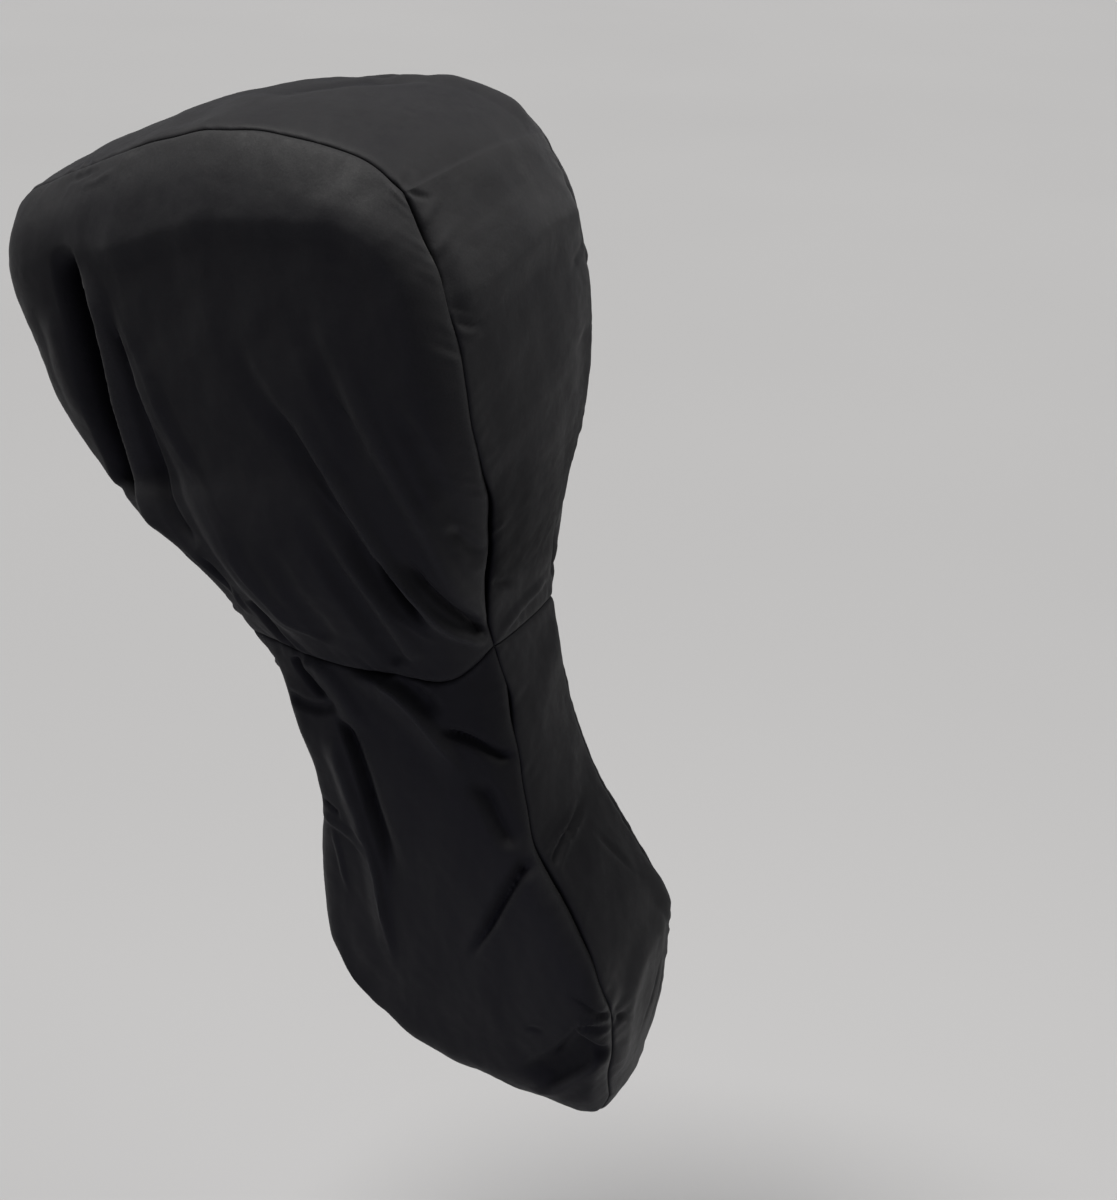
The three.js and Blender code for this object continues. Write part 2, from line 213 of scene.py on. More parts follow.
def sampled(lines: Array, reach: Array, distance: float) -> Array:
    """The values found at one distance from a border, on each line that leads inward from it.

    Args:
        lines: array (line, place, value) of what is sampled.
        reach: array (line, place) of distances from the border.
        distance: how far in to look.

    Returns:
        Array (line, value), mixed between the two places on either side of the distance.
    """
    after = np.clip((reach < distance).sum(axis=1), 1, reach.shape[1] - 1)[:, None]
    near = np.take_along_axis(reach, after - 1, axis=1)
    far = np.take_along_axis(reach, after, axis=1)
    share = ((distance - near) / (far - near))[..., None]
    start = np.take_along_axis(lines, (after - 1)[..., None], axis=1)
    end = np.take_along_axis(lines, after[..., None], axis=1)
    return (start + (end - start) * share)[:, 0]


@dataclass(frozen=True)
class Course:
    """A smooth curve through a short table of points.

    It is cubic between two rows, and its parameter is the length of the chords in the first two
    columns. The slope at a row is the mean of the chords beside it, each weighted by the other's length.
    """

    rows: Table

    @property
    def stops(self) -> Array:
        """The length of the chords up to each row."""
        places = np.array(self.rows, float)[:, :2]
        return np.r_[0, np.cumsum(np.linalg.norm(np.diff(places, axis=0), axis=1))]

    def at(self, shares: Array) -> Array:
        """Points of the curve.

        Args:
            shares: places along it, from 0 to 1.

        Returns:
            Array (share, column).
        """
        points, stops = np.array(self.rows, float), self.stops
        spans = np.diff(stops)[:, None]
        chords = np.diff(points, axis=0) / spans
        inner = (chords[:-1] * spans[1:] + chords[1:] * spans[:-1]) / (spans[1:] + spans[:-1])
        slopes = np.concatenate([chords[:1], inner, chords[-1:]])
        along = np.clip(shares, 0, 1) * stops[-1]
        row = np.clip(np.searchsorted(stops, along, side="right") - 1, 0, len(spans) - 1)
        u = ((along - stops[row]) / spans[row, 0])[:, None]
        start = (1 + 2 * u) * (1 - u) ** 2 * points[row] + u * (1 - u) ** 2 * spans[row] * slopes[row]
        end = u * u * (3 - 2 * u) * points[row + 1] + u * u * (u - 1) * spans[row] * slopes[row + 1]
        return start + end


@dataclass(frozen=True)
class Wander:
    """An uneven wave along a line: a sum of sines with seeded phases.

    Attributes:
        shortest: the shortest sine's length.
        longest: the longest sine's length.
        seed: picks the phases.
        waves: how many sines, their lengths in even ratios.
    """

    shortest: float
    longest: float
    seed: int
    waves: int = 6

    def along(self, distance: Array) -> Array:
        """The wave along a line: the sum of its sines, over the root of their number.

        Args:
            distance: places along the line.

        Returns:
            The height at each place, mostly between -1 and 1.
        """
        lengths = np.geomspace(self.shortest, self.longest, self.waves)
        phases = np.random.default_rng(self.seed).uniform(0, 2 * np.pi, self.waves)
        angles = 2 * np.pi * distance[..., None] / lengths + phases
        return np.sin(angles).sum(axis=-1) / math.sqrt(self.waves)


@dataclass(frozen=True)
class Undulation:
    """Soft unevenness of a hanging panel: sines in seeded directions.

    Attributes:
        shortest: the shortest wave.
        longest: the longest wave.
        height: how far the waves reach, together.
        waves: how many sines.
        lean: how much the crests run down the cloth rather than across it, 1 for no preference.
    """

    shortest: float = 48
    longest: float = 170
    height: float = 1.4
    waves: int = 14
    lean: float = 0.55

    def over(self, x: Array, z: Array, seed: int) -> Array:
        """The unevenness over a panel: its sines, each as high as it is long, over their mean length.

        Args:
            x: first coordinate of the places.
            z: second coordinate of the places.
            seed: picks the directions and phases.

        Returns:
            The height at each place.
        """
        rng = np.random.default_rng(seed)
        lengths = np.geomspace(self.shortest, self.longest, self.waves)
        headings = rng.uniform(0, np.pi, self.waves)
        phases = rng.uniform(0, 2 * np.pi, self.waves)
        across = x[..., None] * np.cos(headings) + self.lean * z[..., None] * np.sin(headings)
        waves = np.sin(2 * np.pi * across / lengths + phases) * lengths
        return self.height * waves.sum(axis=-1) / (lengths.mean() * math.sqrt(self.waves))


@dataclass(frozen=True)
class Fold:
    """One crease of a panel: a bell-shaped trough or ridge along a path.

    Attributes:
        name: what it is on the cover.
        heights: height on the port and on the starboard side, negative for a trough.
        widths: half-width on the rear side and on the front side of the path.
        path: points (x, z) on a side panel, or (distance, y) on the band, in order downward.
        taper: factors on the widths at the path's two ends.
        fades: shares of the path over which the fold grows and dies away.
        crisp: power of the bell. 2 is round, and less than 1.5 makes a sharp middle line.
    """

    name: str
    heights: Pair
    widths: Pair
    path: Table
    taper: Pair = (1.0, 1.0)
    fades: Pair = (0.3, 0.3)
    crisp: float = 2.0

    STEPS = 28

    def over(self, x: Array, z: Array, side: Side) -> Array:
        """The fold's height at each place.

        Args:
            x: first coordinate of the places, as in the path.
            z: second coordinate of the places.
            side: which side's height counts.

        Returns:
            The height times a bell of the distance from the path, faded at the path's ends. The bell is
            the square of one less a power of the distance's share of the width.
        """
        height = self.heights[0] if side is Side.PORT else self.heights[1]
        if height == 0:
            return np.zeros(x.shape)
        stops = np.linspace(0, 1, self.STEPS + 1)
        line = Course(self.path).at(stops)
        reach = max(self.widths) * max(self.taper)
        low, high = line.min(axis=0) - reach, line.max(axis=0) + reach
        near = (x > low[0]) & (x < high[0]) & (z > low[1]) & (z < high[1])
        spot = np.stack([x[near], z[near]], axis=-1)[:, None]
        step = np.diff(line, axis=0)
        share = ((spot - line[:-1]) * step).sum(axis=-1) / (step**2).sum(axis=-1)
        share = np.clip(share, 0, 1)
        off = spot - line[:-1] - share[..., None] * step
        distance = np.linalg.norm(off, axis=-1)
        nearest = distance.argmin(axis=1)
        pick = (np.arange(len(nearest)), nearest)
        rearward = (step[:, 0] * off[..., 1] - step[:, 1] * off[..., 0])[pick] > 0
        along = (nearest + share[pick]) / self.STEPS
        first, last = self.taper
        width = np.where(rearward, *self.widths) * (first + (last - first) * along)
        bell = (1 - np.clip(distance[pick] / width, 0, 1) ** self.crisp) ** 2
        for fade, way in zip(self.fades, (along, 1 - along)):
            if fade > 0:
                bell = bell * eased(way, 0, fade)
        result = np.zeros(x.shape)
        result[near] = height * bell
        return result


COWL_FOLDS = (
    Fold("front pocket", (-62, -34), (20, 54),
         ((-322, -200), (-313, -270), (-302, -350), (-297, -425), (-290, -500), (-272, -575)),
         taper=(0.7, 1.05), fades=(0.16, 0.08), crisp=2.4),
    Fold("pocket lip", (13, 8), (30, 12),
         ((-300, -220), (-281, -280), (-271, -350), (-266, -420), (-264, -495), (-250, -565),
          (-215, -620)), fades=(0.15, 0.3)),
    Fold("front ridge", (7, 7), (24, 30), ((-385, -270), (-368, -335), (-360, -415), (-348, -485))),
    Fold("second valley", (-15, -11), (17, 16),
         ((-262, -281), (-248, -331), (-234, -380), (-230, -435), (-224, -500), (-205, -552), (-176, -596),
          (-150, -622)), taper=(0.6, 1.25), fades=(0.2, 0.1), crisp=1.6),
    Fold("long ridge", (9, 9), (30, 26),
         ((-250, -275), (-210, -385), (-172, -495), (-115, -590), (-62, -685), (5, -755)),
         fades=(0.25, 0.1)),
    Fold("hem crease", (-19, -10), (16, 11),
         ((-92, -696), (-77, -720), (-68, -744), (-58, -770), (-38, -795)), fades=(0.25, 0.1), crisp=1.3),
    Fold("dark crease beside the hem", (-9, -4), (8, 9),
         ((-150, -636), (-128, -668), (-110, -706)), fades=(0.35, 0.35), crisp=1.4),
    Fold("strip beside the hem", (5, 4), (9, 9),
         ((-190, -618), (-150, -650), (-112, -700), (-100, -740)), fades=(0.3, 0.2)),
    Fold("broad valley", (-14, -9), (30, 46),
         ((-60, -270), (-10, -370), (40, -445), (95, -540), (140, -635), (190, -700)),
         taper=(0.8, 0.8), fades=(0.35, 0.1), crisp=1.7),
    Fold("broad ridge", (11, 8), (26, 26),
         ((15, -340), (70, -455), (125, -555), (165, -635), (210, -712), (245, -750)),
         taper=(1.2, 0.5), fades=(0.3, 0.05), crisp=1.7),
    Fold("mid valley", (-8, -5), (28, 28),
         ((50, -225), (90, -320), (118, -405), (150, -500)), fades=(0.4, 0.4)),
    Fold("rear ridge", (8, 7), (28, 28),
         ((100, -275), (130, -345), (165, -435), (200, -530), (225, -635), (245, -725)),
         taper=(1, 0.5), fades=(0.3, 0.05)),
    Fold("rear valley", (-7, -5), (20, 26), ((185, -330), (218, -425), (240, -505), (255, -580))),
    Fold("waist valley", (-11, -11), (28, 28),
         ((25, -520), (75, -625), (108, -700), (135, -780)), fades=(0.35, 0.05)),
    Fold("waist ridge", (6, 6), (22, 20),
         ((75, -555), (112, -645), (143, -712), (165, -770)), fades=(0.3, 0.1)),
    Fold("front valley", (-6, -6), (26, 26), ((-40, -580), (0, -665), (42, -750)), fades=(0.35, 0.1)),
    Fold("upper wedge", (-18, -11), (11, 17),
         ((132, -580), (155, -650), (192, -710)), taper=(1, 0.8), crisp=1.4),
    Fold("lower wedge", (-16, -9), (12, 14),
         ((165, -580), (203, -648), (228, -695), (243, -738)), taper=(1, 0.7), fades=(0.3, 0.1), crisp=1.4),
    Fold("small valley", (-8, -4), (10, 16), ((232, -535), (248, -570), (256, -620))),
    Fold("shoulder's edge", (7, 5), (58, 42),
         ((-345, -215), (-199, -178), (-82, -134), (59, -121), (120, -118), (178, -152), (212, -215),
          (226, -300), (244, -386)), taper=(1, 0.8), fades=(0.15, 0.4), crisp=1.5),
    Fold("first crease of the front shoulder", (-3, -2), (6, 5),
         ((-352, -128), (-316, -114), (-276, -98)), fades=(0.4, 0.4)),
    Fold("second crease of the front shoulder", (2.5, 2), (5, 7),
         ((-318, -126), (-276, -112), (-238, -90)), fades=(0.4, 0.4)),
    Fold("third crease of the front shoulder", (-2.5, 0), (5, 6),
         ((-240, -82), (-215, -68), (-190, -58)), fades=(0.4, 0.4)),
    Fold("line of the long ridge", (3, 2), (8, 7),
         ((-256, -252), (-226, -319), (-199, -380), (-184, -441), (-164, -487), (-126, -540), (-101, -584),
          (-79, -641), (-54, -680)), fades=(0.2, 0.3), crisp=1.2),
    Fold("line beside the hem", (2.5, 2), (7, 7),
         ((-105, -597), (-74, -650), (-42, -693), (-14, -726), (17, -746), (60, -762)), crisp=1.2),
    Fold("line of the broad ridge", (4, 2), (8, 7),
         ((28, -464), (81, -524), (129, -582), (173, -636), (205, -692), (233, -734)),
         fades=(0.3, 0.2), crisp=1.2),
    Fold("line of the lower wedge", (3, 0), (6, 7), ((139, -678), (171, -711), (197, -732)), crisp=1.2),
    Fold("ridge between the wedges", (5, 4), (8, 10),
         ((150, -590), (178, -652), (212, -708), (236, -742)), fades=(0.3, 0.2)),
    Fold("line of the mid valley", (-3, -2), (5, 9),
         ((92, -338), (104, -362), (122, -384), (140, -398)), fades=(0.3, 0.4), crisp=1.5),
)

LEG_FOLDS = (
    Fold("leg ridge", (11, 8), (14, 32),
         ((12, -915), (32, -1000), (52, -1080), (68, -1170), (80, -1270), (88, -1330)),
         fades=(0.1, 0.3), crisp=1.6),
    Fold("leg valley", (-22, -14), (44, 12),
         ((25, -880), (48, -950), (64, -1030), (82, -1105), (95, -1195)),
         taper=(0.6, 1.1), fades=(0.12, 0.35), crisp=1.6),
    Fold("notch ridge", (7, 5), (12, 14),
         ((-44, -1078), (-12, -1082), (24, -1096), (62, -1124)), fades=(0.35, 0.3), crisp=1.5),
    Fold("notch crease", (-7, -3), (8, 8), ((-36, -1050), (-10, -1056), (10, -1070)), crisp=1.5),
    Fold("line of the slant ridge", (3, 2), (7, 7),
         ((55, -797), (106, -816), (141, -849), (176, -891), (205, -928), (221, -951)),
         fades=(0.2, 0.3), crisp=1.2),
    Fold("line of the leg ridge", (3, 2), (7, 7),
         ((24, -1067), (55, -1087), (66, -1137), (72, -1191), (81, -1268), (85, -1322)),
         fades=(0.1, 0.4), crisp=1.2),
    Fold("thin ridge of the leg", (4, 3), (7, 8),
         ((-14, -1096), (-4, -1133), (2, -1177), (10, -1215)), fades=(0.2, 0.4)),
    Fold("slant ridge", (11, 8), (18, 40),
         ((62, -780), (130, -835), (185, -898), (228, -965)), fades=(0.1, 0.35), crisp=1.6),
    Fold("over the slant ridge", (-12, -8), (22, 20),
         ((110, -792), (150, -825), (188, -860)), fades=(0.2, 0.3)),
    Fold("dark wedge", (-17, -11), (13, 16),
         ((180, -878), (238, -898), (285, -930)), fades=(0.25, 0.15), crisp=1.3),
    Fold("knee wedge", (-17, -12), (14, 20), ((325, -1072), (297, -1120), (262, -1190), (220, -1270)),
         taper=(1.1, 0.6), fades=(0.08, 0.45), crisp=1.4),
    Fold("back hollow", (-15, -8), (22, 24), ((226, -950), (258, -985), (276, -1020), (304, -1058)),
         fades=(0.3, 0.2), crisp=1.7),
    Fold("tip hollow", (-17, -10), (38, 34),
         ((312, -1488), (350, -1446), (390, -1402), (424, -1362)), fades=(0.25, 0.08), crisp=3),
    Fold("rim above the tip hollow", (-6, -3), (7, 10),
         ((348, -1430), (362, -1406), (384, -1366), (410, -1334), (440, -1340)),
         fades=(0.2, 0.1), crisp=1.4),
    Fold("rim below the tip hollow", (7, 5), (12, 34),
         ((295, -1519), (347, -1487), (381, -1452), (417, -1417), (433, -1385)),
         taper=(0.6, 1), fades=(0.2, 0.1), crisp=1.5),
    Fold("first crease at the tip", (-5, -3), (6, 8),
         ((385, -1276), (412, -1288), (437, -1316)), fades=(0.4, 0), crisp=1.5),
    Fold("second crease at the tip", (4, 3), (6, 8),
         ((392, -1338), (416, -1326), (434, -1320)), fades=(0.4, 0), crisp=1.5),
    Fold("small crease before the tip", (-4, 0), (6, 8),
         ((308, -1370), (328, -1364), (350, -1364)), fades=(0.4, 0.4)),
    Fold("hem crease, below the waist", (-14, -8), (10, 11),
         ((-46, -798), (-29, -824), (-8, -846), (18, -862)), fades=(0.1, 0.4), crisp=1.4),
    Fold("front of the bottom, drawn in", (-6, -5), (50, 50),
         ((-26, -1300), (0, -1342), (28, -1378), (62, -1414))),
    Fold("waist ridge", (9, 7), (22, 30), ((-15, -785), (35, -845), (72, -910)), fades=(0.1, 0.3)),
    Fold("front pucker", (-8, -5), (14, 14), ((-72, -870), (-10, -878), (30, -860)), fades=(0.2, 0.2)),
)


@dataclass(frozen=True)
class Cutting:
    """How finely the panels are divided, and where the sewn front ends.

    Attributes:
        front: cells down the sewn front edge.
        hem: cells down the free hem of the cowl.
        length: cells from front to rear.
        leg: cells down the leg.
        across: cells across the band.
        crowd: how far cells crowd towards the seams of a side panel.
        band_crowd: the same across the band.
    """

    front: int = 104
    hem: int = 88
    length: int = 200
    leg: int = 160
    across: int = 56
    crowd: float = 0.45
    band_crowd: float = 0.7

    @property
    def chin(self) -> float:
        """The share of the whole front edge at which its sewn part ends."""
        sewn = Course(EDGES["front"]).stops[-1]
        return sewn / (sewn + Course(EDGES["chin"]).stops[-1])

    @property
    def along(self) -> Array:
        """Shares from the front to the rear of a side panel."""
        return crowded(self.length, self.crowd)

    @property
    def cowl_down(self) -> Array:
        """Shares down the side of the cowl, with one of them at the chin.

        Returns:
            The shares, from 0 to 1.
        """
        sewn = self.chin * crowded(self.front, self.crowd)
        free = self.chin + (1 - self.chin) * crowded(self.hem, self.crowd)
        return np.concatenate([sewn, free[1:]])

    @property
    def leg_down(self) -> Array:
        """Shares down the side of the leg."""
        return crowded(self.leg, self.crowd)


CUT = Cutting()


def edge_points(shares: Array, *names: str) -> Array:
    """Points (x, y, z) along edge tables that follow each other, with y at plus half the width.

    Args:
        shares: places along the whole line, from 0 to 1.
        names: the tables, in order.

    Returns:
        Array (share, 3).
    """
    rows = EDGES[names[0]] + tuple(row for name in names[1:] for row in EDGES[name][1:])
    return Course(rows).at(shares)[:, [0, 2, 1]]


@dataclass(frozen=True)
class Furrow:
    """A stretch of seam whose furrow differs from the rest.

    Attributes:
        name: where it is.
        x: middle of the stretch, front to rear.
        z: middle of the stretch, height.
        reach: half its length.
        depth: extra depth at its middle, below 0 where it is shallower.
        width: extra width at its middle.
        pucker: extra height of the puckers there.
    """

    name: str
    x: float
    z: float
    reach: float
    depth: float
    width: float
    pucker: float = 0


BAND_FURROWS = (
    Furrow("front of the top", -350, -115, 190, -2.7, 0, 0.7),
    Furrow("shoulder turn", 207, -122, 74, 8, 1.7, 0.6),
    Furrow("smooth stretch", 248, -222, 38, -2.6, 0),
    Furrow("below the smooth stretch", 258, -275, 46, 1.5, 0, 0.8),
    Furrow("back of the waist", 262, -600, 195, 13, 4.6, 0.3),
    Furrow("under the waist", 272, -852, 48, 8, 1.5),
    Furrow("knee", 378, -1145, 145, 12, 4.6, 0.2),
    Furrow("above the tip", 440, -1330, 80, 0, 0, 1.2),
)
WAIST_FURROWS = (
    Furrow("hem end of the waist", -20, -790, 90, -1.5, 1, 0.8),
    Furrow("middle of the waist", 120, -800, 85, 7, 5, 0.8),
)


@dataclass(frozen=True)
class Sewing:
    """How a seam draws two panels in.

    Attributes:
        depth: how far a plain stretch of seam lies below the panels.
        width: the distance over which the furrow falls to a third.
        ends: length at a free end of a seam over which its furrow dies away.
        corner: length over which one seam's furrow turns into another's.
        gap: half the gap between two sewn panels.
        gap_reach: distance over which that gap dies away.
        pillow: how far the cloth stands proud beside a seam.
        pillow_reach: distance from the seam of the proudest place.
        pucker: height of the uneven puckers beside a seam.
        slant: how much a pucker runs along the seam as it leaves it.
        pucker_lengths: shortest and longest pucker.
        swelling_lengths: shortest and longest wave in which the puckers grow and shrink.
        swelling: levels of that wave at which they are smallest and largest.
        least_pucker: share of their height that they keep where they are smallest.
        sway: how far a seam wanders to either side.
        sway_lengths: shortest and longest wave of that.
        sway_calm: distance from a corner over which it sets in.
        sway_reach: distance from the seam over which the cloth follows it.
    """

    depth: float = 3.6
    width: float = 2.9
    ends: float = 36
    corner: float = 30
    gap: float = 0.15
    gap_reach: float = 4
    pillow: float = 0.8
    pillow_reach: float = 12
    pucker: float = 0.35
    slant: float = 0.4
    pucker_lengths: Pair = (21, 64)
    swelling_lengths: Pair = (90, 260)
    swelling: Pair = (-0.8, 1.0)
    least_pucker: float = 0.5
    sway: float = 1.5
    sway_lengths: Pair = (85, 280)
    sway_calm: float = 45
    sway_reach: float = 26

    def furrow(self, points: Array, spots: tuple[Furrow, ...]) -> Array:
        """How the furrow runs along a seam.

        Args:
            points: array (point, 3) along the seam.
            spots: the stretches that differ from the rest.

        Returns:
            Array (3, point) of its depth, its width and the height of its puckers: the plain ones, plus
            a bell for each stretch.
        """
        plain = np.array([[self.depth], [self.width], [self.pucker]])
        result = np.repeat(plain, len(points), axis=1)
        for spot in spots:
            distance = np.hypot(points[:, 0] - spot.x, points[:, 2] - spot.z)
            bell = (1 - np.clip(distance / spot.reach, 0, 1) ** 2) ** 2
            result += np.array([[spot.depth], [spot.width], [spot.pucker]]) * bell
        return result


SEWING = Sewing()


@dataclass
class Line:
    """One border of a panel: what is sewn there and how the seam leans and dips.

    Attributes:
        sewn: whether each point is sewn to a neighbour.
        lean: unit vector at each point that points out of the seam, shared with the neighbour.
        dip: how far and which way the seam is drawn in at each point.
        width: width of the furrow at each point.
        pucker: height of the puckers at each point.
        sway: how far and which way the seam wanders from its smooth course at each point.
    """

    sewn: Array
    lean: Array
    dip: Array
    width: Array
    pucker: Array
    sway: Array

    @staticmethod
    def free(count: int) -> Line:
        """A border of so many points that is hemmed from end to end."""
        nothing, flat = np.zeros((count, 3)), np.zeros(count)
        return Line(flat > 0, nothing, nothing.copy(), np.full(count, SEWING.width), flat, nothing.copy())


class BandSeam:
    """The seam beside the centre band, from the chin over the top and down the back to the tip.

    It runs on at y = +half and is the same on both sides. The side panels and the band take their
    borders from it, so that they meet.
    """

    EVENING_PASSES = 40
    SWAY_SEED = 5
    STRETCHES = ("front", "top", "back", "leg_back", "under")

    def __init__(self) -> None:
        """Works out the points, crowns, outward directions, leans and dips of the whole seam."""
        sewn = CUT.cowl_down[: CUT.front + 1]
        shares = {
            "front": sewn[::-1],
            "top": CUT.along,
            "back": CUT.cowl_down,
            "leg_back": CUT.leg_down,
            "under": CUT.along[::-1],
        }
        points, crowns = [], []
        for name in self.STRETCHES:
            tables = ("front", "chin") if name == "front" else (name,)
            first = 1 if points else 0
            rows = tuple(enumerate(CROWNS[name]))
            points.append(edge_points(shares[name], *tables)[first:])
            crowns.append(Course(rows).at(shares[name])[first:, 1])
        self.points = np.concatenate(points)
        self.crowns = self.evened(np.concatenate(crowns)[:, None])[:, 0]
        steps = np.gradient(self.points, axis=0)
        outward = np.stack([-steps[:, 2], np.zeros(len(steps)), steps[:, 0]], axis=-1)
        self.outward = unit(self.evened(unit(outward)))
        self.lean = unit(self.outward + np.array([0, 1, 0]))
        along = lengths_along(self.points)
        self.along = along
        ends = eased(along, 0, SEWING.ends) * eased(along[-1] - along, 0, SEWING.ends)
        depth, self.width, self.pucker = SEWING.furrow(self.points, BAND_FURROWS)
        self.dip = -self.lean * (depth * ends)[:, None]
        self.top = CUT.front
        self.back = self.top + CUT.length
        self.waist = self.back + CUT.front + CUT.hem
        self.under = self.waist + CUT.leg
        corners = along[[0, self.top, self.back, self.waist, self.under, len(along) - 1]]
        calm = eased(np.abs(along[:, None] - corners).min(axis=1), 0, SEWING.sway_calm)
        wander = Wander(*SEWING.sway_lengths, self.SWAY_SEED).along(along)
        across = unit(np.cross(steps, self.lean))
        self.sway = across * (SEWING.sway * calm * wander)[:, None]

    def evened(self, values: Array) -> Array:
        """Values along the seam, averaged with their neighbours many times.

        Args:
            values: array (point, value).

        Returns:
            The same array, smoothed.
        """
        for _ in range(self.EVENING_PASSES):
            padded = np.concatenate([values[:1], values, values[-1:]])
            values = (padded[:-2] + 2 * padded[1:-1] + padded[2:]) / 4
        return values

    def line(self, places: Array) -> Line:
        """The border that runs along some of the seam's points, in the order given."""
        columns = (self.lean, self.dip, self.width, self.pucker, self.sway)
        return Line(np.ones(len(places), bool), *(values[places] for values in columns))


BAND_SEAM = BandSeam()


def waist_on_side(points: Array) -> Line:
    """The waist seam between two side panels, from the front hem to the band.

    Args:
        points: array (point, 3) of the seam, at y = +half.

    Returns:
        A border that leans straight out to the side. It turns into the band's seam at its rear end,
        and its furrow dies away at the hem.
    """
    along = lengths_along(points)
    corner = BAND_SEAM.waist
    turn = eased(along[-1] - along, 0, SEWING.corner)[:, None]
    lean = unit(turn * np.array([0, 1, 0]) + (1 - turn) * BAND_SEAM.lean[corner])
    depth, width, pucker = SEWING.furrow(points, WAIST_FURROWS)
    depth = depth * eased(along, 0, SEWING.ends)
    dip = -lean * depth[:, None]
    dip = turn * dip + (1 - turn) * BAND_SEAM.dip[corner]
    return Line(np.ones(len(points), bool), lean, dip, width, pucker, np.zeros_like(points))


def waist_on_band(points: Array) -> Line:
    """The waist seam across the band, between its two side seams.

    Args:
        points: array (point, 3) of the seam, from starboard to port.

    Returns:
        A border that leans straight out of the band and turns into the side seams at its ends.
    """
    along = lengths_along(points)
    corner = BAND_SEAM.waist
    sewn = np.ones(len(points), bool)
    lean = np.repeat(BAND_SEAM.outward[corner][None], len(points), axis=0)
    _, width, pucker = SEWING.furrow(points, ())
    line = Line(sewn, lean, -SEWING.depth * lean, width, pucker, np.zeros_like(points))
    for way, sign in ((along, 1), (along[-1] - along, -1)):
        turn = eased(way, 0, SEWING.corner)[:, None]
        mirror = np.array([1, sign, 1])
        line.lean = turn * line.lean + (1 - turn) * BAND_SEAM.lean[corner] * mirror
        line.dip = turn * line.dip + (1 - turn) * BAND_SEAM.dip[corner] * mirror
    line.lean = unit(line.lean)
    return line


@dataclass(frozen=True)
class Hemming:
    """The turned edges of a panel: hems where it is free, allowances where it is sewn.

    Attributes:
        cloth: thickness of the cloth.
        nose: radius of a hem's turned edge, to the outer face.
        nose_turns: angles round the nose, in degrees from the outer face.
        layer: distances from the edge at which the turned-in layer is placed.
        allowance: distances inward from a seam at which its allowance is placed.
        gather: height of a hem's small gathers.
        gather_reach: distance from the edge over which they die away.
        gather_lengths: shortest and longest gather.
        step: how far the cloth over the hem stands proud of the cloth beyond it.
        step_reach: how far before and beyond the last turned-in layer the step starts and ends.
        stitch_line: distance of the stitches from the edge.
        pull: how far the stitches draw the cloth in.
        pull_reach: distance from the stitches over which that dies away.
    """

    cloth: float = 1.0
    nose: float = 1.25
    nose_turns: tuple[float, ...] = (60, 120, 180)
    layer: tuple[float, ...] = (8, 17)
    allowance: tuple[float, ...] = (1.2, 3, 5.5, 8, 11)
    gather: float = 2.0
    gather_reach: float = 13
    gather_lengths: Pair = (20, 54)
    step: float = 1.2
    step_reach: Pair = (2, 4)
    stitch_line: float = 15
    pull: float = 1.6
    pull_reach: float = 3.5

    @property
    def rows(self) -> int:
        """How many rows lie beyond a border."""
        return len(self.allowance)

    def strip(self, face: Array, normals: Array, reach: Array, line: Line) -> Array:
        """The rows beyond one border, nearest first.

        Args:
            face: outer face, read along the border and inward from it.
            normals: its unit normals, read the same way.
            reach: distances from the border, read the same way.
            line: the border.

        Returns:
            Array (place, row, 3). Where the border is sewn, the rows go straight in against the lean.
            Where it is free, they turn round the nose and run back under the face.
        """
        edge, normal = face[:, 0], normals[:, 0]
        outward = edge - face[:, 2]
        outward = unit(outward - (outward * normal).sum(axis=-1, keepdims=True) * normal)
        turns = np.radians(self.nose_turns)[None, :, None]
        nose = (edge - self.nose * normal)[:, None]
        nose = nose + self.nose * (np.cos(turns) * normal[:, None] + np.sin(turns) * outward[:, None])
        under = face - 2 * self.nose * normals
        layer = np.stack([sampled(under, reach, distance) for distance in self.layer], axis=1)
        hem = np.concatenate([nose, layer], axis=1)
        offsets = np.array(self.allowance)[None, :, None]
        allowance = edge[:, None] - offsets * line.lean[:, None]
        return np.where(line.sewn[:, None, None], allowance, hem)

    def cells(self, sewn: Array) -> Array:
        """Which cells of the rows beyond a border are cloth.

        Args:
            sewn: whether each point of the border is sewn.

        Returns:
            Array (place, row), nearest last, as the rows are stored. A hem's nose runs to the ends of
            its stretch, and the layers stop a cell short of them.
        """
        def whole(flags: Array) -> tuple[Array, Array]:
            """The cells between two flagged points.

            Args:
                flags: array (point).

            Returns:
                Which cells are such, and which of them have such a cell on either side.
            """
            pair = flags[:-1] & flags[1:]
            padded = np.concatenate([[False], pair, [False]])
            return pair, padded[:-2] & pair & padded[2:]

        _, sewn_inside = whole(sewn)
        free, free_inside = whole(~sewn)
        nose_rows = len(self.nose_turns)
        result = np.repeat((sewn_inside | free_inside)[:, None], self.rows, axis=1)
        result[:, -nose_rows:] |= free[:, None]
        return result


HEMMING = Hemming()


@dataclass
class Tailored:
    """The finished cloth of one panel, before it becomes a mesh.

    Attributes:
        points: the outer face with the rows beyond its borders.
        cells: which cells of the grid are cloth.
        wear: how rubbed the cloth is and how much painted light and shade it carries
        at each point, from -1 or less in painted shade to 1 where it is rubbed and where it is painted
        paler.
        stitches: points and normals of each line of stitches, as pairs of arrays (place, 3).
    """

    points: Array
    cells: Array
    wear: Array
    stitches: list[tuple[Array, Array]]


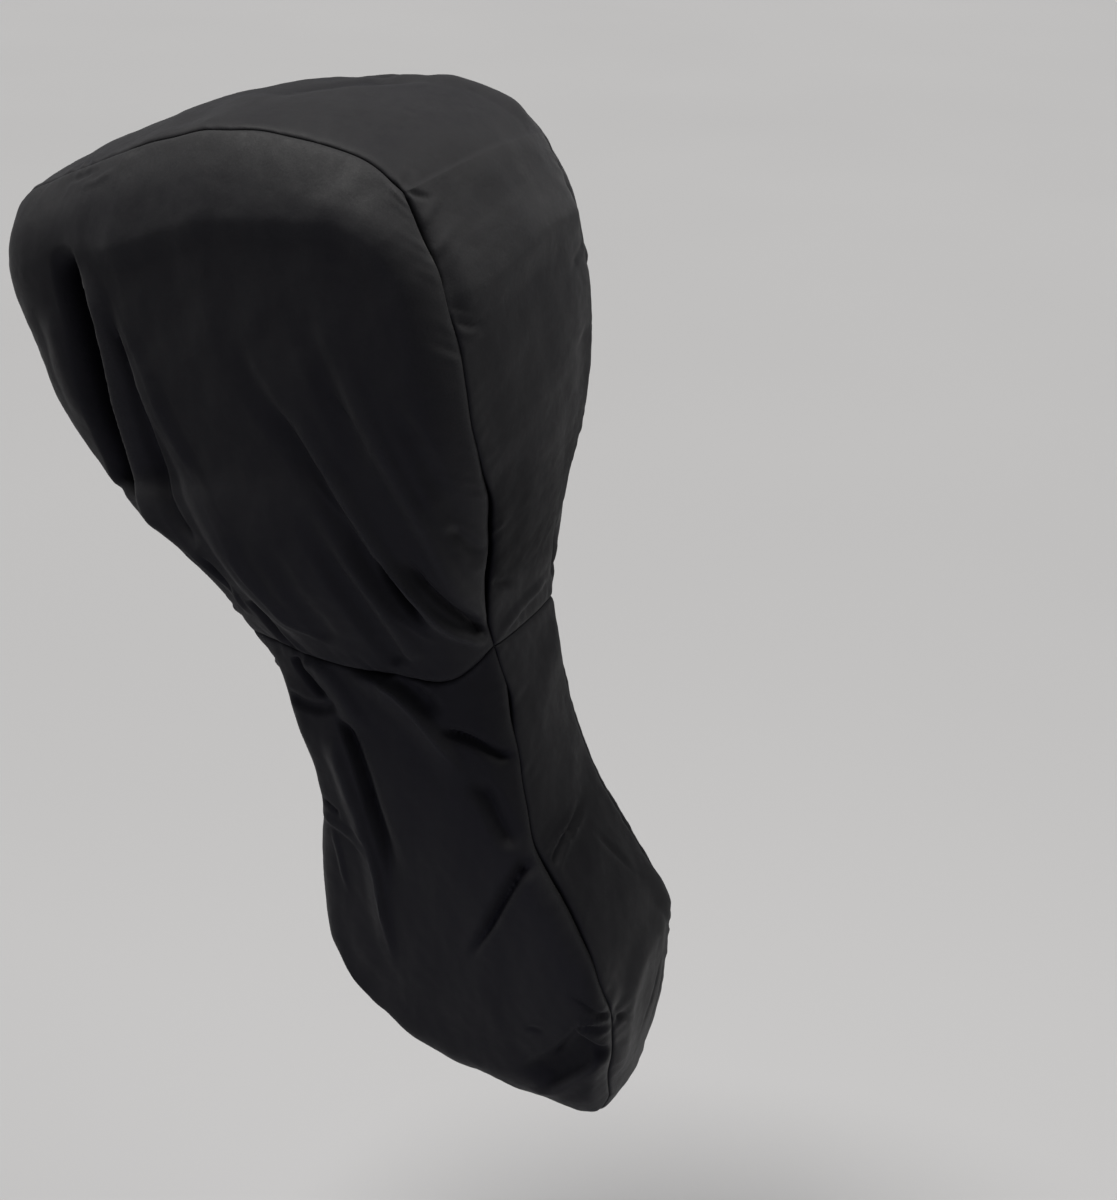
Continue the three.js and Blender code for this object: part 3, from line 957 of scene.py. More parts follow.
@dataclass(frozen=True)
class Wear:
    """Where the cloth is rubbed pale, and where nothing has faded it.

    Attributes:
        ridge: how rubbed the ridges get.
        ridge_height: height from which a fold is as rubbed as that.
        strip: how rubbed the cloth beside a seam gets.
        strip_middle: distance from the seam of the middle of that strip.
        strip_reach: distance from its middle over which the strip ends.
        fresh_folds: depths of a fold between which its cloth takes more and more painted shade.
        fresh_furrows: the same for a seam's furrow.
        furrow_reach: how far beside the seam that goes, in widths of the furrow.
    """

    ridge: float = 0.7
    ridge_height: float = 12
    strip: float = 0.5
    strip_middle: float = 7
    strip_reach: float = 6
    fresh_folds: Pair = (8, 36)
    fresh_furrows: Pair = (2, 12)
    furrow_reach: float = 1.2

    def rubbed(self, folds: Array, seam: Array) -> Array:
        """How rubbed each point is, from the height of its folds and its distance from a seam."""
        beside = np.exp(-(((seam - self.strip_middle) / self.strip_reach) ** 2))
        return self.ridge * np.clip(folds / self.ridge_height, 0, 1) + self.strip * beside


WEAR_AND_SHADE = Wear()


@dataclass
class Panel(ABC):
    """One cut panel of the cover, built at y = +half.

    Attributes:
        name: the panel's name, which is its CAD node's name too.
        seed: picks the panel's own puckers and unevenness.
        fold_reach: distance from a seam over which the folds grow.
        undulation_reach: distance from a seam over which the soft unevenness grows.
        reach: distance of each point from each border, along the grid.
    """

    name: str
    seed: int
    fold_reach: float = 20
    undulation_reach: float = 34
    reach: dict[Border, Array] = field(init=False, default_factory=dict)

    # What is added to the panel's seed for the swelling of its puckers, its gathers and its dents
    SWELLING_SEED = 20
    GATHER_SEED = 40
    DENT_SEED = 60

    # The panel's folds, its broad soft waves and its shallow dents, unless its kind states others
    FOLDS = ()
    WAVES = Undulation()
    DENTS = Undulation(17, 46, height=0.28, waves=18, lean=0.8)

    @property
    def mirrored(self) -> bool:
        """Whether the panel is turned over to the port side at the end."""
        return False

    @property
    def height_side(self) -> Side:
        """The side whose heights its folds have."""
        return Side.PORT

    @abstractmethod
    def smooth_face(self) -> Array:
        """The outer face before its folds, as an array (row, column, 3)."""

    @abstractmethod
    def lines(self, face: Array) -> dict[Border, Line]:
        """The four borders of the panel."""

    @abstractmethod
    def places(self, face: Array) -> tuple[Array, Array]:
        """The two coordinates of each point in which the panel's folds are placed."""

    def folds(self, face: Array) -> Array:
        """The summed height of the panel's folds at each point."""
        return sum(fold.over(*self.places(face), self.height_side) for fold in self.FOLDS)

    def unevenness(self, face: Array) -> Array:
        """The height of the panel's waves and dents at each point."""
        waves = self.WAVES.over(*self.places(face), self.seed)
        return waves + self.DENTS.over(*self.places(face), self.seed + self.DENT_SEED)

    def measure(self, face: Array) -> None:
        """Measures how far each point is from each border, along the grid.

        Args:
            face: the outer face.
        """
        for border in Border:
            distance = np.empty(face.shape[:2])
            turned(distance, border)[:] = lengths_along(turned(face, border))
            self.reach[border] = distance

    def seam_distance(self, lines: dict[Border, Line]) -> Array:
        """How far each point is from the nearest sewn border.

        Args:
            lines: the panel's borders.

        Returns:
            Array (row, column) of distances.
        """
        result = np.full(self.reach[FIRST_ROW].shape, np.inf)
        for border, line in lines.items():
            view = turned(result, border)
            distance = turned(self.reach[border], border)
            view[:] = np.where(line.sewn[:, None], np.minimum(view, distance), view)
        return result

    def beside_seams(self, face: Array, lines: dict[Border, Line]) -> Array:
        """The pillow and the uneven puckers beside each seam.

        Args:
            face: the smooth face.
            lines: the panel's borders.

        Returns:
            Heights that are nothing on the seam, greatest at the pillow's reach and gone soon after.
        """
        total = np.zeros(face.shape[:2])
        for index, (border, line) in enumerate(lines.items()):
            view = turned(face, border)
            distance = turned(self.reach[border], border)
            along = lengths_along(view[:, 0])
            share = distance / SEWING.pillow_reach
            swell = share * np.exp(1 - share)
            slanted = along[:, None] + SEWING.slant * distance
            fine = Wander(*SEWING.pucker_lengths, self.seed + index).along(slanted)
            slow = Wander(*SEWING.swelling_lengths, self.seed + self.SWELLING_SEED + index).along(along)
            strength = SEWING.least_pucker + eased(slow, *SEWING.swelling)[:, None]
            height = (SEWING.pillow + strength * line.pucker[:, None] * fine) * swell
            turned(total, border)[:] += np.where(line.sewn[:, None], height, 0)
        return total

    def beside_hems(self, face: Array, lines: dict[Border, Line]) -> Array:
        """The small gathers of each free hem, the step where its turned-in layer ends, and its stitches.

        Args:
            face: the smooth face.
            lines: the panel's borders.

        Returns:
            Heights that are nothing near the ends of a hem.
        """
        total = np.zeros(face.shape[:2])
        for index, (border, line) in enumerate(lines.items()):
            view = turned(face, border)
            distance = turned(self.reach[border], border)
            along = lengths_along(view[:, 0])
            free = (~line.sewn).astype(float)
            if not free.any():
                continue
            start, end = along[free > 0].min(), along[free > 0].max()
            calm = 2 * SEWING.ends
            inside = free * eased(along, start, start + calm) * (1 - eased(along, end - calm, end))
            waves = Wander(*HEMMING.gather_lengths, self.seed + self.GATHER_SEED + index).along(along)
            gathers = HEMMING.gather * waves[:, None] * np.exp(-((distance / HEMMING.gather_reach) ** 2))
            last, (before, beyond) = HEMMING.layer[-1], HEMMING.step_reach
            step = HEMMING.step * (1 - eased(distance, last - before, last + beyond))
            pulled = HEMMING.pull * np.exp(-(((distance - HEMMING.stitch_line) / HEMMING.pull_reach) ** 2))
            turned(total, border)[:] += inside[:, None] * (gathers + step - pulled)
        return total

    def drawn_in(self, lines: dict[Border, Line]) -> Array:
        """How each point moves as the seams are drawn in.

        Each border carries its dip inward with an exponential fall, and where two borders meet, what
        they both carry from their corner is taken off once.

        Args:
            lines: the panel's borders.

        Returns:
            Array (row, column, 3) of moves that are exactly the dips on the borders.
        """
        shape = self.reach[FIRST_ROW].shape
        total = np.zeros(shape + (3,))
        falls = {}
        for border, line in lines.items():
            fall = np.empty(shape)
            reach = turned(self.reach[border], border)
            turned(fall, border)[:] = np.exp(-reach / line.width[:, None])
            turned(total, border)[:] += turned(fall, border)[..., None] * line.dip[:, None]
            turned(total, border)[:] += np.exp(-reach / SEWING.sway_reach)[..., None] * line.sway[:, None]
            falls[border] = fall
        for row_border in (FIRST_ROW, LAST_ROW):
            for column_border, end in ((FIRST_COLUMN, 0), (LAST_COLUMN, -1)):
                both = falls[row_border] * falls[column_border]
                total -= both[..., None] * lines[row_border].dip[end]
        return total

    def parted(self, face: Array, lines: dict[Border, Line]) -> Array:
        """How each point moves to leave half of the gap to the panels that it is sewn to.

        Args:
            face: the smooth face.
            lines: the panel's borders.

        Returns:
            Array (row, column, 3) of moves square to each sewn border, inward.
        """
        total = np.zeros(face.shape)
        for border, line in lines.items():
            view = turned(face, border)
            tangent = np.gradient(view[:, 0], axis=0)
            inward = view[:, 1] - view[:, 0]
            across = unit(np.cross(tangent, np.where(line.sewn[:, None], line.lean, inward)))
            across = across * np.sign((across * inward).sum(axis=-1, keepdims=True))
            fall = np.exp(-turned(self.reach[border], border) / SEWING.gap_reach)
            move = SEWING.gap * across * line.sewn[:, None]
            turned(total, border)[:] += fall[..., None] * move[:, None]
        return total

    def sculpted(self) -> tuple[Array, Array, dict[Border, Line]]:
        """The outer face with its folds, seams and hems.

        Returns:
            The face, how rubbed, painted paler and painted darker each point is, and its borders.
        """
        face = self.smooth_face()
        lines = self.lines(face)
        self.measure(face)
        seam = self.seam_distance(lines)
        folds = self.folds(face) * rolled(seam / self.fold_reach, GENTLE)
        soft = self.unevenness(face) * rolled(seam / self.undulation_reach, GENTLE)
        height = folds + soft + self.beside_seams(face, lines) + self.beside_hems(face, lines)
        shaped = face + height[..., None] * grid_normals(face)
        shaped = shaped + self.drawn_in(lines) + self.parted(face, lines)
        # Paler where the cloth is rubbed and where painted light falls on shoulders and back.
        pale = np.clip(WEAR_AND_SHADE.rubbed(folds, seam) + self.faded(grid_normals(face)), -1, 1)
        # Painted shade: darker in deep folds and deep seam furrows.
        fresh = np.clip(eased(-folds, *WEAR_AND_SHADE.fresh_folds) + self.furrow_share(lines), 0, 1)
        return shaped, pale - fresh, lines

    def faded(self, normals: Array) -> Array:
        """How much paler painted light makes the cloth at each point, below 0 where painted shade makes it
        darker.

        Args:
            normals: outward unit normals of the smooth face.

        Returns:
            Array (row, column), which is 0 all over on a panel that says nothing else.
        """
        return np.zeros(normals.shape[:2])

    def furrow_share(self, lines: dict[Border, Line]) -> Array:
        """How much painted shade each point takes for lying down a deep furrow of a seam.

        Args:
            lines: the panel's borders.

        Returns:
            Array (row, column) from 0 to 1: the deepest furrow's share times a bell of the distance.
        """
        total = np.zeros(self.reach[FIRST_ROW].shape)
        for border, line in lines.items():
            depth = np.linalg.norm(line.dip, axis=-1)[:, None]
            width = WEAR_AND_SHADE.furrow_reach * line.width[:, None]
            fall = np.exp(-((turned(self.reach[border], border) / width) ** 2))
            view = turned(total, border)
            view[:] = np.maximum(view, fall * eased(depth, *WEAR_AND_SHADE.fresh_furrows))
        return total

    def tailored(self) -> Tailored:
        """The whole cloth of the panel, with its hems and seam allowances.

        Returns:
            The cloth, turned over where the panel is a mirrored one.
        """
        face, wear, lines = self.sculpted()
        self.measure(face)
        normals = grid_normals(face)
        rows = HEMMING.rows
        pad = ((rows, rows), (rows, rows))
        points = np.pad(face, pad + ((0, 0),), mode="edge")
        cells = np.pad(np.ones((face.shape[0] - 1, face.shape[1] - 1), bool), pad)
        stitches = []
        for border, line in lines.items():
            reach = turned(self.reach[border], border)
            strip = HEMMING.strip(turned(face, border), turned(normals, border), reach, line)
            turned(points, border)[rows:-rows, :rows] = strip[:, ::-1]
            turned(cells, border)[rows:-rows, :rows] = HEMMING.cells(line.sewn)
            if not line.sewn.all():
                free = ~line.sewn
                track = sampled(turned(face, border), reach, HEMMING.stitch_line)[free]
                up = unit(sampled(turned(normals, border), reach, HEMMING.stitch_line))[free]
                stitches.append((track, up))
        if self.mirrored:
            mirror = np.array([1, -1, 1])
            points = points * mirror
            stitches = [(track * mirror, up * mirror) for track, up in stitches]
        return Tailored(points, cells, np.pad(wear, pad, mode="edge"), stitches)


@dataclass
class SidePanel(Panel):
    """A side panel, on the port or on the starboard side.

    Attributes:
        side: which side.
        sun: how far the shoulders are painted paler, as painted light from above.
        sun_slopes: upward parts of the normal between which that sets in.
    """

    side: Side = Side.PORT
    sun: float = 0.95
    sun_slopes: Pair = (0.25, 0.6)

    @property
    def mirrored(self) -> bool:
        """A port panel is turned over at the end."""
        return self.side is Side.PORT

    @property
    def height_side(self) -> Side:
        """The side that the panel is on."""
        return self.side

    def places(self, face: Array) -> tuple[Array, Array]:
        """The panel seen from the side: x and z."""
        return face[..., 0], face[..., 2]

    def faded(self, normals: Array) -> Array:
        """The rounded shoulders, which look outward and up, are painted paler as painted light from above.
        """
        return self.sun * eased(normals[..., 2], *self.sun_slopes)

    def patch(self, down: Array, top: str, bottom: str, front: tuple[str, ...], rear: str) -> Array:
        """A four-sided patch between its edges.

        Args:
            down: shares of the rows.
            top: name of the edge at the first row.
            bottom: that of the edge at the last row.
            front: names of the edges that make up the first column, in order.
            rear: name of the edge at the last column.

        Returns:
            The two ruled surfaces between opposite edges, added, less the flat patch between corners.
        """
        u, v = CUT.along[None, :, None], down[:, None, None]
        first_row, last_row = (edge_points(CUT.along, name)[None] for name in (top, bottom))
        first, last = (edge_points(down, *names)[:, None] for names in (front, (rear,)))
        ruled = (1 - v) * first_row + v * last_row + (1 - u) * first + u * last
        corners = (1 - u) * (1 - v) * first_row[:, :1] + u * (1 - v) * first_row[:, -1:]
        return ruled - corners - (1 - u) * v * last_row[:, :1] - u * v * last_row[:, -1:]


@dataclass
class CowlSide(SidePanel):
    """The side of the cowl, sewn to the band and to the leg, with a free hem below its chin.

    It swells past the seam over rounded shoulders. Each roll is the share of the panel's height or
    length that its shoulder takes up.

    Attributes:
        swell: how far the panel swells past its seam.
        thinning: share of the swell that is gone at the waist.
        belly: how much further its middle stands out.
        top_roll: the shoulder at the top.
        rear_roll: the shoulder at the back.
        front_roll: the shoulder at the sewn front.
        hem_roll: the shoulder at the free hem.
        steepness: power of the shoulders at the top and at the back.
        chin_blend: shares before and after the chin over which one front shoulder becomes the other.
        waist_pull: share of the height over which the waist seam draws the panel in.
        strip_width: width of the strip beside the seam of the back that is painted paler.
        strip_fade: how much paler that strip is painted, as painted light.
    """

    swell: float = 58
    thinning: float = 0.42
    belly: float = 10
    top_roll: float = 0.17
    rear_roll: float = 0.13
    front_roll: float = 0.16
    hem_roll: float = 0.09
    steepness: float = 2.6
    chin_blend: Pair = (0.08, 0.12)
    waist_pull: float = 0.3
    strip_width: float = 52
    strip_fade: float = 0.5

    FOLDS = COWL_FOLDS

    def smooth_face(self) -> Array:
        """The patch between the edges, swollen outward by its shoulders and a slight belly.

        Returns:
            Array (row, column, 3).
        """
        u, v = CUT.along[None], CUT.cowl_down[:, None]
        face = self.patch(CUT.cowl_down, "top", "waist", ("front", "chin"), "back")
        free = eased(v, CUT.chin - self.chin_blend[0], CUT.chin + self.chin_blend[1])
        front = (1 - free) * rolled(u / self.front_roll) + free * rolled(u / self.hem_roll)
        shoulders = front * rolled(v / self.top_roll, self.steepness)
        shoulders = shoulders * rolled((1 - u) / self.rear_roll, self.steepness)
        swell = self.swell * (1 - self.thinning * v) * rolled((1 - v) / self.waist_pull, GENTLE)
        face[..., 1] += shoulders * swell + self.belly * np.sin(np.pi * u) * np.sin(np.pi * v)
        return face

    def lines(self, face: Array) -> dict[Border, Line]:
        """Sewn all round but for the free hem, which starts at the chin.

        Args:
            face: the smooth face.

        Returns:
            The four borders.
        """
        front = Line.free(len(CUT.cowl_down))
        sewn = BAND_SEAM.line(np.arange(CUT.front, -1, -1))
        count = CUT.front + 1
        front.sewn[: count - 1] = True
        front.lean[:count], front.dip[:count] = sewn.lean, sewn.dip
        front.width[:count], front.pucker[:count], front.sway[:count] = sewn.width, sewn.pucker, sewn.sway
        return {
            FIRST_ROW: BAND_SEAM.line(np.arange(BAND_SEAM.top, BAND_SEAM.back + 1)),
            LAST_ROW: waist_on_side(face[-1]),
            FIRST_COLUMN: front,
            LAST_COLUMN: BAND_SEAM.line(np.arange(BAND_SEAM.back, BAND_SEAM.waist + 1)),
        }

    def faded(self, normals: Array) -> Array:
        """The shoulders are painted paler as painted light from above, and so is a strip beside the seam of
        the back.
        """
        strip = np.exp(-((self.reach[LAST_COLUMN] / self.strip_width) ** 2))
        return np.maximum(super().faded(normals), self.strip_fade * strip)


@dataclass
class LegSide(SidePanel):
    """The side of the leg, which swells less, and most at its front edge, where it turns in.

    Attributes:
        swell: how far the panel swells past its seam at the waist.
        gain: how much more it does at the bottom.
        front_swell: how much more it does at its front edge.
        front_swell_start: share of the height over which that sets in below the waist.
        rear_roll: share of the length that the shoulder at the back takes up.
        front_roll: the same at the hem.
        bottom_roll: share of the height that the shoulder at the bottom takes up.
        waist_pull: share of the height over which the waist seam draws the panel in.
    """

    swell: float = 30
    gain: float = 8
    front_swell: float = 34
    front_swell_start: float = 0.25
    rear_roll: float = 0.16
    front_roll: float = 0.14
    bottom_roll: float = 0.16
    waist_pull: float = 0.3

    FOLDS = LEG_FOLDS

    def smooth_face(self) -> Array:
        """The patch between the edges, swollen outward by its shoulders.

        Returns:
            Array (row, column, 3).
        """
        u, v = CUT.along[None], CUT.leg_down[:, None]
        face = self.patch(CUT.leg_down, "waist", "under", ("leg_hem",), "leg_back")
        shoulders = rolled((1 - u) / self.rear_roll) * rolled(u / self.front_roll)
        shoulders = shoulders * rolled((1 - v) / self.bottom_roll) * rolled(v / self.waist_pull, GENTLE)
        front = self.front_swell * (1 - u) ** 2 * rolled(v / self.front_swell_start, GENTLE)
        face[..., 1] += shoulders * (self.swell + self.gain * v + front)
        return face

    def lines(self, face: Array) -> dict[Border, Line]:
        """Sewn at the waist, down the back and underneath, with a free hem in front.

        Args:
            face: the smooth face.

        Returns:
            The four borders.
        """
        return {
            FIRST_ROW: waist_on_side(face[0]),
            LAST_ROW: BAND_SEAM.line(np.arange(len(BAND_SEAM.points) - 1, BAND_SEAM.under - 1, -1)),
            FIRST_COLUMN: Line.free(len(CUT.leg_down)),
            LAST_COLUMN: BAND_SEAM.line(np.arange(BAND_SEAM.waist, BAND_SEAM.under + 1)),
        }


BAND_FOLDS = (
    Fold("corner of the front, eased", (-7, -7), (40, 40), ((408, 210), (408, -210)),
         fades=(0, 0.3), crisp=1),
    Fold("hollow of the top", (-16, 0), (90, 90), ((790, -90), (860, 20), (905, 85), (928, 128)),
         fades=(0.3, 0.12)),
    Fold("hollow beside the far seam", (-11, 0), (80, 60),
         ((780, -20), (800, 30), (826, 85), (856, 130), (868, 170), (872, 205)), fades=(0.3, 0.1)),
    Fold("far corner of the top", (9, 0), (46, 40),
         ((962, 90), (996, 128), (1030, 158), (1075, 162), (1120, 168))),
    Fold("corner of the top, eased", (-6, 0), (50, 50), ((1114, 230), (1114, -230)), fades=(0, 0), crisp=1),
    Fold("bend of the top into the back", (9, 0), (95, 46),
         ((1262, -212), (1256, -102), (1240, -11), (1232, 110), (1238, 205)), fades=(0.08, 0.1), crisp=1.5),
    Fold("pucker at the turn of the seam", (-3.5, 0), (6, 6), ((1116, -212), (1131, -190), (1142, -172)),
         fades=(0.1, 0.5)),
    Fold("first pucker of the back", (-3, 0), (5, 5), ((1270, -212), (1281, -190), (1290, -172)),
         fades=(0.1, 0.5)),
    Fold("second pucker of the back", (-4, 0), (5, 6), ((1290, -210), (1304, -182), (1308, -150)),
         fades=(0.1, 0.5)),
    Fold("third pucker of the back", (3, 0), (5, 5), ((1306, -210), (1316, -188), (1322, -160)),
         fades=(0.1, 0.5)),
    Fold("far pucker of the back", (-2.5, 0), (10, 10), ((1302, 110), (1294, 150), (1284, 200)),
         fades=(0.4, 0.1)),
    Fold("hollow of the far edge", (-5, 0), (46, 60), ((1390, 150), (1440, 158), (1500, 140)),
         fades=(0.2, 0.2)),
    Fold("smudge above the waist", (-5, 0), (13, 11), ((1712, -112), (1722, -88), (1742, -34)),
         fades=(0.2, 0.5)),
    Fold("ridge above the waist", (4.5, 0), (14, 10), ((1803, -92), (1790, -40), (1782, 20), (1776, 90)),
         fades=(0.2, 0.3)),
    Fold("first ridge of the knee", (5, 0), (9, 8), ((2160, -118), (2146, -73), (2136, -24), (2120, 20)),
         fades=(0.1, 0.5), crisp=1.6),
    Fold("second ridge of the knee", (5, 0), (9, 9), ((2186, -112), (2168, -74), (2152, -10), (2136, 50)),
         fades=(0.1, 0.4), crisp=1.6),
    Fold("valley of the knee", (-5, 0), (14, 12), ((2172, -110), (2158, -72), (2144, -16), (2132, 44)),
         fades=(0.1, 0.4)),
    Fold("slanting crease of the knee", (-4, 0), (9, 12), ((2176, 6), (2215, 26), (2255, 44), (2290, 58)),
         fades=(0.3, 0.4)),
    Fold("far corner of the leg", (10, 0), (46, 34), ((2280, 64), (2322, 98), (2366, 116), (2430, 116)),
         fades=(0.45, 0.45)),
    Fold("edge of the tip's facet", (9, 0), (64, 44),
         ((2376, 128), (2380, 100), (2382, 20), (2394, -31), (2430, -66), (2490, -74), (2592, -60)),
         fades=(0.2, 0.2), crisp=1.4),
    Fold("first crease of the facet", (-3.5, 0), (6, 7), ((2420, 70), (2462, 40), (2505, 5), (2540, -22)),
         fades=(0.3, 0.4)),
    Fold("second crease of the facet", (-3, 0), (6, 6), ((2452, 92), (2500, 60), (2556, 34)),
         fades=(0.3, 0.4)),
    Fold("crease at the tip's seam", (-5, 0), (7, 7), ((2430, -116), (2446, -84), (2476, -62)),
         fades=(0, 0.5)),
)


@dataclass
class Band(Panel):
    """A length of the centre band. Its columns run from starboard to port.

    Attributes:
        first: the seam's point at which the length starts.
        last: the seam's point at which it ends.
        squareness: power of the crown across the band. 2 is a parabola, and more is flatter.
        unfaded: how much darker the cloth is painted where it looks down, as painted shade.
        back_fade: how much paler the upper half of the back is painted, as painted light, as a share of
            that.
        back_slopes: rearward parts of the normal between which the cloth becomes the back.
        sun_slopes: upward parts of the normal between which the paler half sets in.
        shade_slopes: downward parts of the normal between which the darker cloth sets in.
    """

    first: int = 0
    last: int = 0
    squareness: float = 2.4
    unfaded: float = 0.0
    back_fade: float = 0.5
    back_slopes: Pair = (0.6, 0.9)
    sun_slopes: Pair = (-0.05, 0.3)
    shade_slopes: Pair = (0, 0.35)

    FOLDS = BAND_FOLDS
    WAVES = Undulation(60, 210, height=1.5, lean=0.9)
    DENTS = Undulation(15, 50, height=0.25, waves=18, lean=0.9)

    def smooth_face(self) -> Array:
        """The seam's points carried across, crowned along the seam's outward direction.

        Returns:
            Array (row, column, 3).
        """
        across = 1 - 2 * crowded(CUT.across, CUT.band_crowd)
        places = slice(self.first, self.last + 1)
        points, outward = BAND_SEAM.points[places, None], BAND_SEAM.outward[places, None]
        bulge = BAND_SEAM.crowns[places, None] * (1 - np.abs(across) ** self.squareness)
        mirror = np.stack([np.ones_like(across), across, np.ones_like(across)], axis=-1)
        return points * mirror + outward * bulge[..., None]

    def lines(self, face: Array) -> dict[Border, Line]:
        """Sewn to both side panels and to the other length at the waist, with a hem at the free end.

        Args:
            face: the smooth face.

        Returns:
            The four borders.
        """
        places = np.arange(self.first, self.last + 1)
        starboard, port = BAND_SEAM.line(places), BAND_SEAM.line(places)
        mirror = np.array([1, -1, 1])
        port.lean, port.dip, port.sway = port.lean * mirror, port.dip * mirror, port.sway * mirror
        at_waist = LAST_ROW if self.last == BAND_SEAM.waist else FIRST_ROW
        at_end = FIRST_ROW if at_waist is LAST_ROW else LAST_ROW
        waist = face[-1] if at_waist is LAST_ROW else face[0]
        return {
            at_waist: waist_on_band(waist),
            at_end: Line.free(face.shape[1]),
            FIRST_COLUMN: starboard,
            LAST_COLUMN: port,
        }

    def places(self, face: Array) -> tuple[Array, Array]:
        """The distance along the band's seam, and y."""
        along = BAND_SEAM.along[self.first : self.last + 1, None]
        return np.repeat(along, face.shape[1], axis=1), face[..., 1]

    def faded(self, normals: Array) -> Array:
        """The upper half of the back is painted paler as painted light, and what looks down is painted
        darker as painted shade.

        Args:
            normals: outward unit normals of the smooth face.

        Returns:
            Array (row, column), below 0 where the cloth is painted darker.
        """
        up = normals[..., 2]
        back = self.back_fade * eased(normals[..., 0], *self.back_slopes) * eased(up, *self.sun_slopes)
        return self.unfaded * (back - eased(-up, *self.shade_slopes))


def cloth_map(points: Array) -> Array:
    """Where each point of a grid lies on its cloth, spread flat.

    Args:
        points: array (row, column, 3).

    Returns:
        Array (row, column, 2) of the lengths along the row and down the column, from the middle ones.
    """
    lengths = lengths_along(points)
    heights = lengths_along(points.swapaxes(0, 1)).T
    middle_column, middle_row = lengths.shape[1] // 2, lengths.shape[0] // 2
    return np.stack([lengths - lengths[:, middle_column, None], heights - heights[middle_row]], axis=-1)


def shell_mesh(name: str, cloth: Tailored, flip: bool) -> bpy.types.Object:
    """A closed shell of cloth: its outer face, the same face one thickness in, and a rim between.

    Args:
        name: the piece's name.
        cloth: the panel's points and cells.
        flip: whether the grid was turned over, so that its faces run the other way round.

    Returns:
        The new object, at the origin, with a UV map in metres of cloth and an attribute for how rubbed the
        cloth is and for its painted light and shade.
    """
    count = cloth.cells.size
    index = np.arange(cloth.points.shape[0] * cloth.points.shape[1]).reshape(cloth.points.shape[:2])
    corners = np.stack([index[:-1, :-1], index[:-1, 1:], index[1:, 1:], index[1:, :-1]], axis=-1)
    quads = corners.reshape(count, 4)[cloth.cells.ravel()]
    used, quads = np.unique(quads, return_inverse=True)
    quads = quads.reshape(-1, 4)
    if flip:
        quads = quads[:, ::-1]
    outer = cloth.points.reshape(-1, 3)[used]
    a, b, c, d = (outer[quads[:, k]] for k in range(4))
    face_normals = np.repeat(np.cross(c - a, d - b), 4, axis=0)
    normals = np.stack(
        [np.bincount(quads.ravel(), face_normals[:, axis], len(outer)) for axis in range(3)], axis=-1
    )
    inner = outer - HEMMING.cloth * unit(normals)
    size = len(outer)
    starts, ends = quads.ravel(), np.roll(quads, -1, axis=1).ravel()
    open_edge = ~np.isin(starts * size + ends, ends * size + starts)
    starts, ends = starts[open_edge], ends[open_edge]
    rim = np.stack([ends, starts, starts + size, ends + size], axis=-1)
    faces = np.concatenate([quads, quads[:, ::-1] + size, rim])

    flat = cloth_map(cloth.points).reshape(-1, 2)[used] * MM
    wear = cloth.wear.ravel()[used]

    mesh = bpy.data.meshes.new(name)
    mesh.vertices.add(2 * size)
    mesh.vertices.foreach_set("co", (np.concatenate([outer, inner]) * MM).astype(np.float32).ravel())
    mesh.loops.add(faces.size)
    mesh.loops.foreach_set("vertex_index", faces.astype(np.int32).ravel())
    mesh.polygons.add(len(faces))
    mesh.polygons.foreach_set("loop_start", np.arange(0, faces.size, 4, dtype=np.int32))
    mesh.update(calc_edges=True)
    mesh.polygons.foreach_set("use_smooth", np.ones(len(faces), bool))
    uv = mesh.uv_layers.new(name="cloth")
    uv.data.foreach_set("uv", np.concatenate([flat, flat])[faces.ravel()].astype(np.float32).ravel())
    attribute = mesh.attributes.new("wear", "FLOAT", "POINT")
    attribute.data.foreach_set("value", np.concatenate([wear, 0 * wear]).astype(np.float32))
    mesh.set_sharp_from_angle(angle=SHARP_ANGLE)
    mesh.validate()
    piece = bpy.data.objects.new(name, mesh)
    bpy.context.scene.collection.objects.link(piece)
    return piece


@dataclass(frozen=True)
class Noise:
    """The settings of one noise.

    Attributes:
        scale: about how many of its spots there are in a metre.
        detail: how many times finer noise is added to it.
        rough: how strong each finer noise is beside the one before.
    """

    scale: float
    detail: float = 2
    rough: float = 0.5

    # The values between which most of any noise lies
    RANGE = (0.3, 0.7)


@dataclass(frozen=True)
class Relief:
    """How a height becomes a bump.

    Attributes:
        distance: what a height of 1 stands for, in metres.
        strength: share of the bump that is seen.
    """

    distance: float
    strength: float


